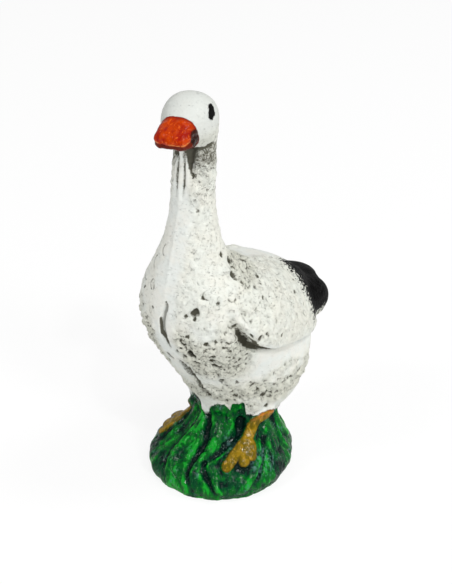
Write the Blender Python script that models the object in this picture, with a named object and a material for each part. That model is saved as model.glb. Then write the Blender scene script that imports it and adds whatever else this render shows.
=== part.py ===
"""Goose figurine: a plaster casting of a goose that stands on a grassy mound.

The real object is one casting, so it is one solid here. Closed forms for the mound, the body with the
neck, the head, the beak and the tail are fused into one skin. The wings, thighs, feet, grass blades,
feather tufts and the mould's parting line are then raised on that skin or cut into it.

Metres, +Z up. The goose looks along -Y, and its left side is +X. The origin is the middle of the flat
underside.
"""

import math

import bmesh
import bpy
import numpy as np
from mathutils import Vector

MM = 0.001
NODE = "goose_figurine"

# Mound: rings of an oblique cone, as height, share of its radius and how far its middle sits back and
# to the left
MOUND_RADIUS = 22.0
MOUND_RINGS = [
    (0.0, 0.93, 0.1, -0.6),
    (1.6, 0.99, 0.3, -0.6),
    (3.4, 1.02, 0.7, -0.4),
    (5.2, 0.99, 1.3, -0.1),
    (8.0, 0.9, 2.2, 0.4),
    (13.5, 0.66, 3.2, 2.5),
    (18.4, 0.52, 4.6, 2.6),
    (24.0, 0.35, 6.0, 1.9),
    (28.0, 0.27, 6.5, 1.4),
]
BELLY_HEIGHT = 18.0  # where the body begins, inside the top of the mound
BELOW_GROUND = 2.0  # the mound is made this much deeper and then cut flat

# Body: level sections above BELLY_HEIGHT, as height, shares of the breast's, the back's and the side's
# reach, and how much wider the front half is than the back half
BREAST_REACH = 25.0
BACK_REACH = 35.3
BODY_HALF_WIDTH = 20.8
BODY_SECTIONS = [
    (-4.0, 0.04, 0.4, 0.24, 0.0),
    (0.0, 0.12, 0.59, 0.51, 0.0),
    (5.0, 0.24, 0.775, 0.755, 0.0),
    (11.0, 0.356, 0.88, 0.875, 0.0),
    (18.0, 0.532, 0.96, 0.957, 0.05),
    (25.0, 0.716, 1.0, 0.99, 0.1),
    (32.0, 0.884, 0.995, 1.0, 0.15),
    (38.0, 0.984, 0.92, 0.97, 0.2),
    (43.0, 1.0, 0.78, 0.923, 0.2),
    (48.0, 0.984, 0.54, 0.837, 0.15),
    (52.0, 0.952, 0.235, 0.726, 0.1),
]

# Neck: it starts this far above the belly and reaches the head's middle. Its sections are given as a
# share of the neck's length, front, back and half width
NECK_STARTS = 56.0
NECK_SECTIONS = [
    (0.0, -22.6, 0.5, 12.4),
    (0.12, -20.8, -3.1, 9.8),
    (0.26, -18.9, -4.0, 7.7),
    (0.44, -17.5, -4.8, 6.5),
    (0.67, -16.5, -4.5, 6.1),
    (0.905, -15.9, -3.7, 6.0),
    (1.0, -15.2, -4.4, 5.4),
]

# Head: turned a little to the goose's left. Sections run forward from its middle, as distance, half
# width, top and bottom
HEAD_ABOVE_BELLY = 99.1
HEAD_FORWARD = 11.8
HEAD_TURN = 20.0
HEAD_SECTIONS = [
    (-9.0, 0.6, 0.6, -1.4),
    (-8.2, 3.4, 3.0, -4.2),
    (-6.2, 5.8, 5.6, -6.2),
    (-3.2, 7.2, 7.4, -7.2),
    (0.4, 7.6, 8.1, -7.4),
    (3.8, 7.1, 7.4, -6.8),
    (6.6, 5.9, 5.9, -5.6),
    (8.8, 4.2, 4.0, -3.8),
    (10.0, 2.0, 1.7, -1.8),
]
BEAK_SECTIONS = [
    (4.6, 4.2, 5.0, -2.4),
    (6.8, 4.9, 4.9, -2.9),
    (8.8, 5.6, 4.3, -3.4),
    (10.8, 5.9, 3.2, -3.4),
    (12.8, 5.8, 2.2, -3.0),
    (14.4, 5.3, 1.4, -2.5),
    (15.2, 4.3, 0.8, -1.8),
]
BEAK_NARROW = 0.36  # how much narrower the beak is along its top

# Black tail: lobes as root and tip (each side, back, above the belly), half width, half thickness
TAIL_REACH = 43.6
TAIL_LOBES = [
    ((0.0, 22.0, 37.0), (0.5, TAIL_REACH, 31.0), 7.3, 4.2),
    ((8.5, 18.0, 33.6), (8.0, TAIL_REACH - 5.4, 28.2), 5.6, 6.2),
    ((-8.5, 18.0, 33.6), (-8.0, TAIL_REACH - 5.4, 28.2), 5.6, 6.2),
    ((0.0, 24.0, 30.0), (0.0, TAIL_REACH - 2.1, 26.0), 9.0, 5.5),
]

# Thighs: middle (each side, back, above the belly) and half sizes
THIGH_PLACE = (9.2, 4.5, 3.5)
THIGH_SIZE = (4.8, 6.5, 7.0)

# Folded wing: outline on the goose's side, as how far back and how high above the belly
WING_OUTLINE = [
    (-6.0, 57.0),
    (-11.6, 53.2),
    (-14.0, 49.8),
    (-14.3, 46.4),
    (-12.7, 42.8),
    (-10.8, 39.4),
    (-8.6, 36.2),
    (-5.4, 34.2),
    (-1.5, 32.3),
    (8.2, 29.8),
    (17.7, 26.6),
    (28.0, 24.0),
    (36.0, 28.0),
    (38.0, 36.0),
    (26.0, 48.0),
    (8.0, 58.0),
]
WING_RAISE = 3.2
RIGHT_WING = 0.6  # how much flatter the right wing is cast
WING_FADES_BACK = (-4.0, 30.0)  # its rise falls off between these distances back
WING_FADES_UP = (38.0, 50.0)  # and between these heights above the belly
WING_FROM_RIDGE = (2.0, 8.0)  # it starts between these distances from the back's ridge
WING_GAP = 2.8  # depth of the gap under the wing's front corner
WING_GAP_MIDDLE = (-9.5, 35.5)  # how far back and how high above the belly
WING_GAP_REACH = (3.0, 8.0)

# Strokes raised on the mound or cut into it: points as degrees from the front and height, then half
# width at the two ends and the rise
BLADES = [
    ([(15, 22), (22, 18), (22, 13), (16, 9), (12, 5)], 6.0, 3.2, 1.4),
    ([(-11, 20), (-4, 16.6), (2, 13.3), (4, 9.5), (9, 6), (17, 2.5)], 1.5, 1.3, -1.3),
    ([(44, 20.5), (41, 18), (32, 15.2), (24, 12), (17, 9.8)], 1.7, 1.1, -1.3),
    ([(47, 20), (48, 15.5)], 2.4, 2.0, -1.4),
    ([(17, 9.8), (21, 8), (28, 6), (38, 3)], 1.4, 1.1, -1.1),
    ([(30, 8.5), (34, 5.5), (40, 3)], 2.2, 1.2, 1.0),
    ([(70, 10), (63, 6.5), (56, 3)], 2.4, 1.4, 0.9),
    ([(82, 15), (74, 9), (68, 4)], 1.2, 0.9, -0.7),
    ([(-26, 22), (-21, 16), (-23, 11), (-14, 6)], 3.6, 2.4, 1.0),
    ([(-34, 19), (-30, 13), (-22, 8), (-12, 4)], 1.3, 1.0, -0.8),
    ([(-56, 18), (-52, 13), (-42, 8)], 2.6, 1.6, 0.7),
    ([(-80, 19), (-82, 12), (-74, 6)], 1.5, 1.2, -0.7),
    ([(92, 19), (90, 12), (96, 6)], 2.8, 1.8, 0.7),
    ([(112, 18), (110, 11), (116, 6)], 1.5, 1.2, -0.7),
    ([(132, 20), (128, 13), (136, 6)], 3.0, 2.0, 0.8),
    ([(158, 20), (162, 12), (154, 6)], 2.8, 2.0, 0.8),
    ([(176, 19), (172, 11), (180, 6)], 1.5, 1.2, -0.7),
    ([(-162, 20), (-168, 12), (-158, 6)], 2.8, 2.0, 0.8),
    ([(-140, 19), (-136, 12), (-144, 6)], 1.5, 1.2, -0.7),
    ([(-118, 20), (-122, 12), (-112, 6)], 3.0, 2.0, 0.8),
]

# Legs and feet: each leg's path down to the ankle and its toes' paths, as side, back and height
LEFT_LEG = [(14.3, 5.2, 22.3), (14.0, 1.0, 21.0), (13.9, -1.5, 19.1), (14.6, -4.5, 16.8)]
LEFT_TOES = [
    [(14.6, -4.5, 16.8), (14.2, -8.0, 14.6), (13.4, -12.6, 11.0)],
    [(14.6, -4.5, 16.8), (16.1, -6.9, 14.3), (17.0, -8.5, 12.0)],
    [(14.6, -4.5, 16.8), (16.4, -4.6, 15.2), (17.5, -5.9, 13.3)],
]
RIGHT_LEG = [(-8.8, 1.2, 18.6), (-10.8, -0.9, 16.0), (-12.7, -3.6, 13.5)]
RIGHT_TOES = [
    [(-12.7, -3.6, 13.5), (-14.6, -6.6, 11.5), (-15.6, -9.2, 9.6)],
    [(-12.7, -3.6, 13.5), (-15.2, -4.6, 11.6), (-17.2, -5.4, 9.8)],
    [(-12.7, -3.6, 13.5), (-15.0, -2.0, 12.4), (-17.2, -1.4, 10.6)],
]
LEG_HALF_WIDTH = 2.8
TOE_HALF_WIDTH = 2.8
FOOT_RAISE = 1.4
BLADE_LIMITS = (-1.5, 1.15)  # how deep and how high crossing blades may reach

# Feather tufts: irregular scales, coarse round the belly and the breast, faint on the wings. Their belts
# fade in and out between the given heights above the belly
TUFT_SIZE = 3.6
TUFT_RAISE = 0.9
TUFT_ON_WING = 0.3
BELLY_TUFTS = (8.5, 11.5, 17.0, 22.0)
BREAST_TUFTS = (16.0, 23.0, 36.0, 47.0)

# Strokes on the body: points as side, back and height above the belly, then half width at the two ends
# and the rise
BODY_STROKES = [
    ([(1.3, -24.6, 48.8), (0.0, -25.0, 42.0), (0.9, -23.4, 34.0)], 0.9, 1.6, -1.15),
    ([(1.8, -19.8, 28.5), (2.9, -17.0, 24.0), (3.2, -12.5, 17.5), (3.6, -8.5, 10.0)], 1.2, 1.4, -0.9),
]
WING_STROKES = [
    ([(17.8, -12.4, 47.4), (18.9, -11.2, 46.6), (20.2, -9.8, 44.4), (21.0, -9.4, 42.4)], 0.9, 1.0, -0.5),
    ([(9.0, -9.0, 53.5), (13.0, -7.0, 50.0)], 1.2, 1.0, -0.6),
]

# Strokes on each side of the neck: points as side, back and share of the neck's length
NECK_STROKES = [
    ([(0.9, -15.5, 0.82), (1.2, -16.0, 0.68), (1.2, -16.6, 0.52)], 0.9, 0.7, -0.7),
    ([(2.0, -13.8, 0.87), (2.3, -14.3, 0.79), (2.8, -15.0, 0.68)], 2.9, 0.6, -1.7),
    ([(3.6, -14.5, 0.85), (5.6, -11.5, 0.86), (6.2, -8.0, 0.87)], 1.3, 1.2, -0.7),
]

# The mould's parting line down the neck and the breast
SEAM_ON_NECK = [(0.0, -17.0, 0.67), (0.0, -18.5, 0.33), (0.0, -20.5, 0.1)]
SEAM_ON_BREAST = [(0.3, -24.5, 50.0)]
SEAM_HALF_WIDTH = 0.85
SEAM_RAISE = 0.22

# The slit between the two halves of the beak: how high it starts, how far forward, and how much it drops
BEAK_SLIT_HEIGHT = -0.4
BEAK_SLIT_BEGINS = 9.0
BEAK_SLIT_DROP = 0.03
BEAK_SLIT_DEPTH = 0.45

GRID = 0.6 * MM  # spacing of the fused skin
FACE_COUNT = 11000
FLAT_SLACK = 0.25 * MM  # points this near each other on the cut rim are merged
PATH_SMOOTHING = 12  # passes that round off a path laid on the skin
STROKE_SEARCH = 12.0  # how far past a stroke's ends its points are looked for

PLASTER = (0.86, 0.86, 0.83, 1.0)
PLASTER_ROUGHNESS = 0.55


def through(rows, count):
    """A smooth curve of count rows through the given rows (Catmull-Rom)."""
    rows = np.array(rows, float)
    padded = np.vstack([2 * rows[0] - rows[1], rows, 2 * rows[-1] - rows[-2]])
    place = np.linspace(0, len(rows) - 1, count)
    index = np.minimum(place.astype(int), len(rows) - 2)
    t = (place - index)[:, None]
    a, b, c, d = (padded[index + k] for k in range(4))
    bend = (2 * a - 5 * b + 4 * c - d) * t**2 + (3 * b - a - 3 * c + d) * t**3
    return 0.5 * (2 * b + (c - a) * t + bend)


def smooth_step(value, low, high):
    t = np.clip((value - low) / (high - low), 0, 1)
    return t * t * (3 - 2 * t)


def skin(bm, rings):
    """Adds a closed tube through the rings, capped at both ends, to bm."""
    made = [[bm.verts.new(Vector(p) * MM) for p in ring] for ring in rings]
    count = len(made[0])
    for low, high in zip(made, made[1:]):
        for k in range(count):
            after = (k + 1) % count
            bm.faces.new((low[k], low[after], high[after], high[k]))
    bm.faces.new(made[0][::-1])
    bm.faces.new(made[-1])


def around(count=64):
    return np.linspace(0, 2 * math.pi, count, endpoint=False)


def add_mound(bm):
    turn = around()
    rings = []
    for height, share, back, left in through(MOUND_RINGS, 30):
        x = left + share * MOUND_RADIUS * np.sin(turn)
        y = back - share * MOUND_RADIUS * np.cos(turn)
        rings.append(np.column_stack([x, y, np.full_like(x, height)]))
    below = rings[0] - np.array([0, 0, BELOW_GROUND])
    skin(bm, [below] + rings)


def neck_height(share):
    """Height above the belly of a point at a share of the neck's length."""
    return NECK_STARTS + share * (HEAD_ABOVE_BELLY - NECK_STARTS)


def add_body(bm):
    turn = around()
    sections = [
        (height, -front * BREAST_REACH, back * BACK_REACH, side * BODY_HALF_WIDTH, fuller)
        for height, front, back, side, fuller in BODY_SECTIONS
    ]
    for share, front, back, half_width in NECK_SECTIONS:
        sections.append((neck_height(share), front, back, half_width, 0.0))
    rings = []
    for height, front, back, half_width, fuller in through(sections, 110):
        x = half_width * np.sin(turn) * (1 + fuller * np.cos(turn))
        y = (front + back) / 2 - (back - front) / 2 * np.cos(turn)
        rings.append(np.column_stack([x, y, np.full_like(x, BELLY_HEIGHT + height)]))
    skin(bm, rings)


def head_frame():
    """Origin, forward and sideways directions of the head."""
    turn = math.radians(HEAD_TURN)
    forward = np.array([math.sin(turn), -math.cos(turn), 0.0])
    side = np.array([math.cos(turn), math.sin(turn), 0.0])
    return np.array([0.0, -HEAD_FORWARD, BELLY_HEIGHT + HEAD_ABOVE_BELLY]), forward, side


def add_lengthwise(bm, sections, count, flat=1.0, narrow=0.0):
    """A form along the head's forward direction.

    flat under 1 squares its sections, and narrow draws in their tops.
    """
    origin, forward, side = head_frame()
    turn = around(48)
    rings = []
    for distance, half_width, top, bottom in through(sections, count):
        sideways = half_width * np.sign(np.sin(turn)) * np.abs(np.sin(turn)) ** flat
        rise = np.sign(np.cos(turn)) * np.abs(np.cos(turn)) ** flat
        height = (top + bottom) / 2 + (top - bottom) / 2 * rise
        sideways *= 1 - narrow * (1 + rise) / 2
        ring = origin + distance * forward + np.outer(sideways, side)
        ring[:, 2] += height
        rings.append(ring[::-1])
    skin(bm, rings)


def add_lobe(bm, root, tip, half_width, half_thickness):
    """A long rounded lobe from root to tip, flattened across."""
    root, tip = (np.array(p) + np.array([0, 0, BELLY_HEIGHT]) for p in (root, tip))
    along = (tip - root) / np.linalg.norm(tip - root)
    lean = math.atan2(root[0], half_width + half_thickness)
    upright = np.array([math.sin(lean), 0, math.cos(lean)])
    across = np.cross(along, upright)
    across /= np.linalg.norm(across)
    up = np.cross(across, along)
    turn = around(32)
    middle, half = (root + tip) / 2, np.linalg.norm(tip - root) / 2
    rings = []
    for t in np.linspace(-0.985, 0.985, 25):
        size = math.sqrt(1 - abs(t) ** 2.6)
        ring = np.outer(np.sin(turn), across) * half_width + np.outer(np.cos(turn), up) * half_thickness
        rings.append(middle + t * half * along + size * ring)
    skin(bm, rings)


def add_ball(bm, middle, size):
    turn = around(32)
    rings = []
    for angle in np.linspace(-1.5, 1.5, 17):
        x = np.sin(turn) * size[0] * math.cos(angle)
        y = np.cos(turn) * size[1] * math.cos(angle)
        ring = np.column_stack([x, y, np.full_like(x, size[2] * math.sin(angle))])
        rings.append(ring + np.array(middle))
    skin(bm, rings)


def add_forms(bm):
    add_mound(bm)
    add_body(bm)
    add_lengthwise(bm, HEAD_SECTIONS, 40, flat=0.88)
    add_lengthwise(bm, BEAK_SECTIONS, 30, flat=0.55, narrow=BEAK_NARROW)
    for root, tip, half_width, half_thickness in TAIL_LOBES:
        add_lobe(bm, root, tip, half_width, half_thickness)
    for side in (-1, 1):
        out, back, height = THIGH_PLACE
        add_ball(bm, (side * out, back, BELLY_HEIGHT + height), THIGH_SIZE)


def evaluated(obj):
    """A copy of obj's mesh with its modifiers applied."""
    bpy.context.view_layer.update()
    return bpy.data.meshes.new_from_object(obj.evaluated_get(bpy.context.evaluated_depsgraph_get()))


def change(obj, kind, **settings):
    """Replaces obj's mesh with the result of one modifier."""
    modifier = obj.modifiers.new(kind, kind)
    for name, value in settings.items():
        setattr(modifier, name, value)
    mesh = evaluated(obj)
    obj.modifiers.clear()
    obj.data = mesh


class Skin:
    """The points of a mesh, in millimetres, with their normals and neighbours."""

    def __init__(self, mesh):
        self.mesh = mesh
        self.points = np.empty(len(mesh.vertices) * 3, np.float32)
        mesh.vertices.foreach_get("co", self.points)
        self.points = self.points.reshape(-1, 3).astype(float) / MM
        self.ends = np.empty(len(mesh.edges) * 2, np.int32)
        mesh.edges.foreach_get("vertices", self.ends)
        self.ends = self.ends.reshape(-1, 2)
        self.normals = np.empty_like(self.points)
        self.store()

    def store(self):
        self.mesh.vertices.foreach_set("co", (self.points * MM).astype(np.float32).ravel())
        self.mesh.update()
        flat = np.empty(len(self.points) * 3, np.float32)
        self.mesh.vertex_normals.foreach_get("vector", flat)
        self.normals = flat.reshape(-1, 3).astype(float)

    def relax(self, weight, times):
        """Moves each point toward its neighbours' mean, by its weight, times over."""
        first, second = self.ends.T
        count = len(self.points)
        degree = np.bincount(first, minlength=count) + np.bincount(second, minlength=count)
        for _ in range(times):
            mean = np.empty_like(self.points)
            for axis in range(3):
                values = self.points[:, axis]
                total = np.bincount(first, values[second], count)
                total += np.bincount(second, values[first], count)
                mean[:, axis] = total / degree
            self.points += weight[:, None] * (mean - self.points)
        self.store()

    def push(self, amount):
        """Moves each point along its normal."""
        self.points += self.normals * amount[:, None]
        self.store()

    def along(self, path):
        """How far each point is from a path laid on the skin, and how far along it, 0 to 1."""
        line = through(path, 40)
        nearest = np.full(len(self.points), np.inf)
        place = np.zeros(len(self.points))
        line = np.array([self.points[np.argmin(((self.points - p) ** 2).sum(1))] for p in line])
        for _ in range(PATH_SMOOTHING):
            line[1:-1] = (line[:-2] + 2 * line[1:-1] + line[2:]) / 4
        reach = np.ptp(line, axis=0).sum() + STROKE_SEARCH
        close = np.nonzero(((self.points - line.mean(0)) ** 2).sum(1) < reach**2)[0]
        for k, (a, b) in enumerate(zip(line, line[1:])):
            step = b - a
            t = np.clip((self.points[close] - a) @ step / max(step @ step, 1e-9), 0, 1)
            gap = np.linalg.norm(self.points[close] - a - t[:, None] * step, axis=1)
            better = gap < nearest[close]
            nearest[close[better]] = gap[better]
            place[close[better]] = (k + t[better]) / (len(line) - 1)
        return nearest, place

    def stroke(self, path, start, end, rise):
        """The amount that raises a rounded stroke, start and end half widths, along a path."""
        gap, place = self.along(path)
        half_width = start + (end - start) * place
        across = 1 - smooth_step(gap, 0.3 * half_width, half_width)
        return rise * across * (1 - 0.6 * smooth_step(place, 0.7, 1.0))


def on_mound(angle, height):
    """The mound's point at an angle from the front, toward the goose's left, and a height."""
    rows = through(MOUND_RINGS, 60)
    radius, back, left = (np.interp(height, rows[:, 0], rows[:, k]) for k in (1, 2, 3))
    radius *= MOUND_RADIUS
    turn = math.radians(angle)
    return (left + radius * math.sin(turn), back - radius * math.cos(turn), height)


def foot_paths():
    """The paths of both legs and all toes, each with its half width."""
    paths = [(LEFT_LEG, LEG_HALF_WIDTH), (RIGHT_LEG, LEG_HALF_WIDTH)]
    return paths + [(toe, TOE_HALF_WIDTH) for toe in LEFT_TOES + RIGHT_TOES]


def outline_distance(outline, y, z):
    """Signed distance from a closed outline, over 0 inside it."""
    closed = np.array(outline + outline[:1], float)
    line = through(closed, 8 * len(closed))
    gap = np.full(len(y), np.inf)
    inside = np.zeros(len(y), bool)
    for (ay, az), (by, bz) in zip(line, line[1:]):
        length = (by - ay) ** 2 + (bz - az) ** 2 + 1e-9
        t = np.clip(((y - ay) * (by - ay) + (z - az) * (bz - az)) / length, 0, 1)
        gap = np.minimum(gap, np.hypot(y - ay - t * (by - ay), z - az - t * (bz - az)))
        if az != bz:
            inside ^= ((az > z) != (bz > z)) & (y < (by - ay) * (z - az) / (bz - az) + ay)
    return np.where(inside, gap, -gap)


def wing_inside(shape):
    y, z = shape.points[:, 1], shape.points[:, 2]
    return outline_distance(WING_OUTLINE, y, z - BELLY_HEIGHT)


def wing_gap_corner(shape):
    """How near each point is to the gap under the wing's front corner, 0 to 1."""
    back = shape.points[:, 1] - WING_GAP_MIDDLE[0]
    height = shape.points[:, 2] - BELLY_HEIGHT - WING_GAP_MIDDLE[1]
    return 1 - smooth_step(np.hypot(back, height), *WING_GAP_REACH)


def wing_amount(shape):
    """Raises the wings, with a gap under the front half of their lower edge."""
    x, y, z = shape.points.T
    inside = wing_inside(shape)
    out = smooth_step(np.abs(x), *WING_FROM_RIDGE) * np.where(x < 0, RIGHT_WING, 1.0)
    front = 1 - smooth_step(y, *WING_FADES_BACK)
    low = 1 - smooth_step(z - BELLY_HEIGHT, *WING_FADES_UP)
    rise = WING_RAISE * (0.2 + 0.8 * low) * (0.4 + 0.6 * front)
    gap = WING_GAP * smooth_step(inside, -2.5, -1.5) * (1 - smooth_step(inside, -0.4, 0.1))
    body = smooth_step(inside, -0.3, 0.5) * (0.85 + 0.15 * smooth_step(inside, 0.0, 3.0))
    return out * (rise * body - gap * (0.35 * front * low + 0.65 * wing_gap_corner(shape)))


def belt(height, limits):
    """1 inside a belt of heights, falling to 0 past its limits."""
    return smooth_step(height, *limits[:2]) * (1 - smooth_step(height, *limits[2:]))


def tuft_amount(shape):
    """Irregular overlapping scales, each thickest at its lower end."""
    x, y, z = shape.points.T
    height = z - BELLY_HEIGHT
    bend = np.sin(0.55 * x + 0.8 * z) + np.sin(0.7 * y - 0.5 * z + 1.0)
    across = np.arctan2(x, -(y - 6.0)) * 17.0 / TUFT_SIZE + 0.3 * bend
    down = -(height + 0.25 * y) / (0.8 * TUFT_SIZE) + 0.25 * np.sin(0.6 * y + 0.4 * x)
    first, second = np.full(len(x), 9.0), np.full(len(x), 9.0)
    tilt = np.zeros(len(x))
    for column in (-1, 0, 1):
        for row in (-1, 0, 1):
            cell_x, cell_y = np.floor(across) + column, np.floor(down) + row
            shift = np.sin(cell_x * 12.99 + cell_y * 78.23) * 43.76
            off_x = across - cell_x - 0.5 - 0.35 * np.sin(shift) - 0.25 * (cell_y % 2)
            off_y = down - cell_y - 0.5 - 0.3 * np.cos(2.3 * shift)
            reach = np.hypot(off_x, off_y)
            tilt = np.where(reach < first, off_y, tilt)
            second = np.where(reach < first, first, np.minimum(second, reach))
            first = np.minimum(first, reach)
    tuft = smooth_step(second - first, 0.0, 0.7) * (0.7 + 0.6 * np.clip(tilt, -0.6, 0.6))
    low = belt(height, BELLY_TUFTS) * smooth_step(y, -14.0, -4.0)
    front = belt(height, BREAST_TUFTS) * smooth_step(-y, 5.0, 13.0) * smooth_step(np.abs(x), 1.5, 5.0)
    wing = smooth_step(wing_inside(shape), 0.5, 3.0) * smooth_step(np.abs(x), *WING_FROM_RIDGE)
    clear = 1 - smooth_step(y, 31.0, 36.0)
    weight = np.maximum(np.maximum(low, front) * (1 - wing), TUFT_ON_WING * wing)
    return TUFT_RAISE * weight * clear * (tuft - 0.45)


def belly_path(points, side=1):
    """Points given as side, back and height above the belly, mirrored where side is -1."""
    return [(side * x, y, BELLY_HEIGHT + height) for x, y, height in points]


def neck_path(points, side=1):
    """Points given as side, back and share of the neck's length, mirrored where side is -1."""
    return belly_path([(x, y, neck_height(share)) for x, y, share in points], side)


def carve(shape):
    """The strokes of the mound, the feet, the neck and the breast."""
    amount = np.zeros(len(shape.points))
    for path, start, end, rise in BLADES:
        amount += shape.stroke([on_mound(*p) for p in path], start, end, rise)
    feet = np.zeros(len(shape.points))
    for path, half_width in foot_paths():
        gap, _ = shape.along(path)
        feet = np.maximum(feet, 1 - smooth_step(gap, 0.35 * half_width, half_width))
    amount = np.clip(amount * (1 - feet), *BLADE_LIMITS) + FOOT_RAISE * feet
    seam = neck_path(SEAM_ON_NECK) + belly_path(SEAM_ON_BREAST)
    amount += shape.stroke(seam, SEAM_HALF_WIDTH, SEAM_HALF_WIDTH, SEAM_RAISE)
    for points, start, end, rise in BODY_STROKES:
        amount += shape.stroke(belly_path(points), start, end, rise)
    for side in (-1, 1):
        for points, start, end, rise in NECK_STROKES:
            amount += shape.stroke(neck_path(points, side), start, end, rise)
        for points, start, end, rise in WING_STROKES:
            amount += shape.stroke(belly_path(points, side), start, end, rise)
    return amount


def beak_slit_height(ahead):
    """How high the slit of the beak is, that far ahead of the head's middle."""
    return BEAK_SLIT_HEIGHT - BEAK_SLIT_DROP * np.maximum(ahead - BEAK_SLIT_BEGINS, 0) ** 2


def beak_line(shape):
    """The slit between the two halves of the beak."""
    origin, forward, _ = head_frame()
    ahead = (shape.points - origin) @ forward
    height = shape.points[:, 2] - origin[2]
    cut = 1 - smooth_step(np.abs(height - beak_slit_height(ahead)), 0.2, 0.9)
    return -BEAK_SLIT_DEPTH * cut * smooth_step(ahead, BEAK_SLIT_BEGINS - 2.0, BEAK_SLIT_BEGINS)


def cut_flat(obj):
    """Cuts everything below the ground and closes the cut with one flat face."""
    bm = bmesh.new()
    bm.from_mesh(obj.data)
    everything = bm.verts[:] + bm.edges[:] + bm.faces[:]
    ground, up = (0, 0, 0), (0, 0, 1)
    cut = bmesh.ops.bisect_plane(bm, geom=everything, plane_co=ground, plane_no=up, clear_inner=True)
    rim = [part for part in cut["geom_cut"] if isinstance(part, bmesh.types.BMVert)]
    bmesh.ops.remove_doubles(bm, verts=rim, dist=FLAT_SLACK)
    rim_edges = [edge for edge in bm.edges if edge.is_boundary]
    made = bmesh.ops.contextual_create(bm, geom=rim_edges)
    for face in made["faces"]:
        for vert in face.verts:
            vert.co.z = 0.0
    bmesh.ops.triangulate(bm, faces=bm.faces[:])
    bmesh.ops.recalc_face_normals(bm, faces=bm.faces)
    bm.to_mesh(obj.data)
    bm.free()


def plaster():
    material = bpy.data.materials.new("painted_plaster")
    material.use_nodes = True
    shader = material.node_tree.nodes["Principled BSDF"]
    shader.inputs["Base Color"].default_value = PLASTER
    shader.inputs["Roughness"].default_value = PLASTER_ROUGHNESS
    shader.inputs["Metallic"].default_value = 0.0
    return material


def fused_forms():
    """The closed forms as one object with one skin."""
    bm = bmesh.new()
    add_forms(bm)
    bmesh.ops.recalc_face_normals(bm, faces=bm.faces)
    mesh = bpy.data.meshes.new(NODE)
    bm.to_mesh(mesh)
    bm.free()
    obj = bpy.data.objects.new(NODE, mesh)
    bpy.context.scene.collection.objects.link(obj)
    change(obj, "REMESH", mode="VOXEL", voxel_size=GRID)
    return obj


def relax_forms(shape):
    """Rounds the joints between the forms, and keeps the beak crisper."""
    origin, forward, _ = head_frame()
    beak = smooth_step((shape.points - origin) @ forward, 6.0, 8.0)
    beak *= smooth_step(shape.points[:, 2] - origin[2], -8.0, -4.0)
    shape.relax(0.5 * (1 - 0.75 * beak), 24)


def main():
    for obj in list(bpy.data.objects):
        bpy.data.objects.remove(obj)
    obj = fused_forms()
    shape = Skin(obj.data)
    relax_forms(shape)
    shape.push(wing_amount(shape))
    change(obj, "REMESH", mode="VOXEL", voxel_size=GRID)
    shape = Skin(obj.data)
    shape.relax(np.full(len(shape.points), 0.4), 3)
    shape.push(carve(shape) + tuft_amount(shape) + beak_line(shape))
    shape.relax(np.full(len(shape.points), 0.3), 1)
    change(obj, "DECIMATE", ratio=FACE_COUNT / (2 * len(obj.data.polygons)))
    cut_flat(obj)
    obj.data.materials.append(plaster())


main()
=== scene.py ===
"""Scene: the goose figurine as a painted plaster casting, on a pale floor in soft light.

The casting is shaped again here on a finer skin than the solid has, with its pits, feather scales and
brush marks, and then painted: white plaster with grey dirt and painted shade in its hollows, a red
beak, black eyes and tail, ochre legs and green grass, with painted highlights and shade on the paint.
"""

import math

import bmesh
import bpy
import numpy as np
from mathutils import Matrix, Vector, noise


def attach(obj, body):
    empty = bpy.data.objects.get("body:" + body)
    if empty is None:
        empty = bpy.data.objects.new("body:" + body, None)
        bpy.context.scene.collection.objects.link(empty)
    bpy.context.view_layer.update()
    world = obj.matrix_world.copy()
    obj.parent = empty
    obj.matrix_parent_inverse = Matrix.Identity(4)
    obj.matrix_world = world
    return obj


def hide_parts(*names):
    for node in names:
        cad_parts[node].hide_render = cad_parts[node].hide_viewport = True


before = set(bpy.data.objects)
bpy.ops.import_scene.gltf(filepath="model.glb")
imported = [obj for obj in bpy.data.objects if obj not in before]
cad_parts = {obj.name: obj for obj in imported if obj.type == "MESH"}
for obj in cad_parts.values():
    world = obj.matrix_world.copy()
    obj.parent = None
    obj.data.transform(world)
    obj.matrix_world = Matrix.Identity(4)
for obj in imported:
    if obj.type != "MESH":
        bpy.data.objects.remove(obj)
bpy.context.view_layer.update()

MM = 0.001
NODE = "goose_figurine"

# Mound: rings of an oblique cone, as height, share of its radius and how far its middle sits back and
# to the left
MOUND_RADIUS = 22.0
MOUND_RINGS = [
    (0, 0.93, 0.1, -0.6),
    (1.6, 0.99, 0.3, -0.6),
    (3.4, 1.02, 0.7, -0.4),
    (5.2, 0.99, 1.3, -0.1),
    (8, 0.9, 2.2, 0.4),
    (13.5, 0.66, 3.2, 2.5),
    (18.4, 0.52, 4.6, 2.6),
    (24, 0.35, 6, 1.9),
    (28, 0.27, 6.5, 1.4),
]
BELLY_HEIGHT = 18.0  # where the body begins, inside the top of the mound
BELOW_GROUND = 2.0  # the mound is made this much deeper and then cut flat

# Body: level sections above BELLY_HEIGHT, as height, shares of the breast's, the back's and the side's
# reach, and how much wider the front half is than the back half
BREAST_REACH = 25.0
BACK_REACH = 35.3
BODY_HALF_WIDTH = 20.8
BODY_SECTIONS = [
    (-4, 0.04, 0.4, 0.24, 0),
    (0, 0.12, 0.59, 0.51, 0),
    (5, 0.24, 0.775, 0.755, 0),
    (11, 0.356, 0.88, 0.875, 0),
    (18, 0.532, 0.96, 0.957, 0.05),
    (25, 0.716, 1, 0.99, 0.1),
    (32, 0.884, 0.995, 1, 0.15),
    (38, 0.984, 0.92, 0.97, 0.2),
    (43, 1, 0.78, 0.923, 0.2),
    (48, 0.984, 0.54, 0.837, 0.15),
    (52, 0.952, 0.235, 0.726, 0.1),
]

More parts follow.
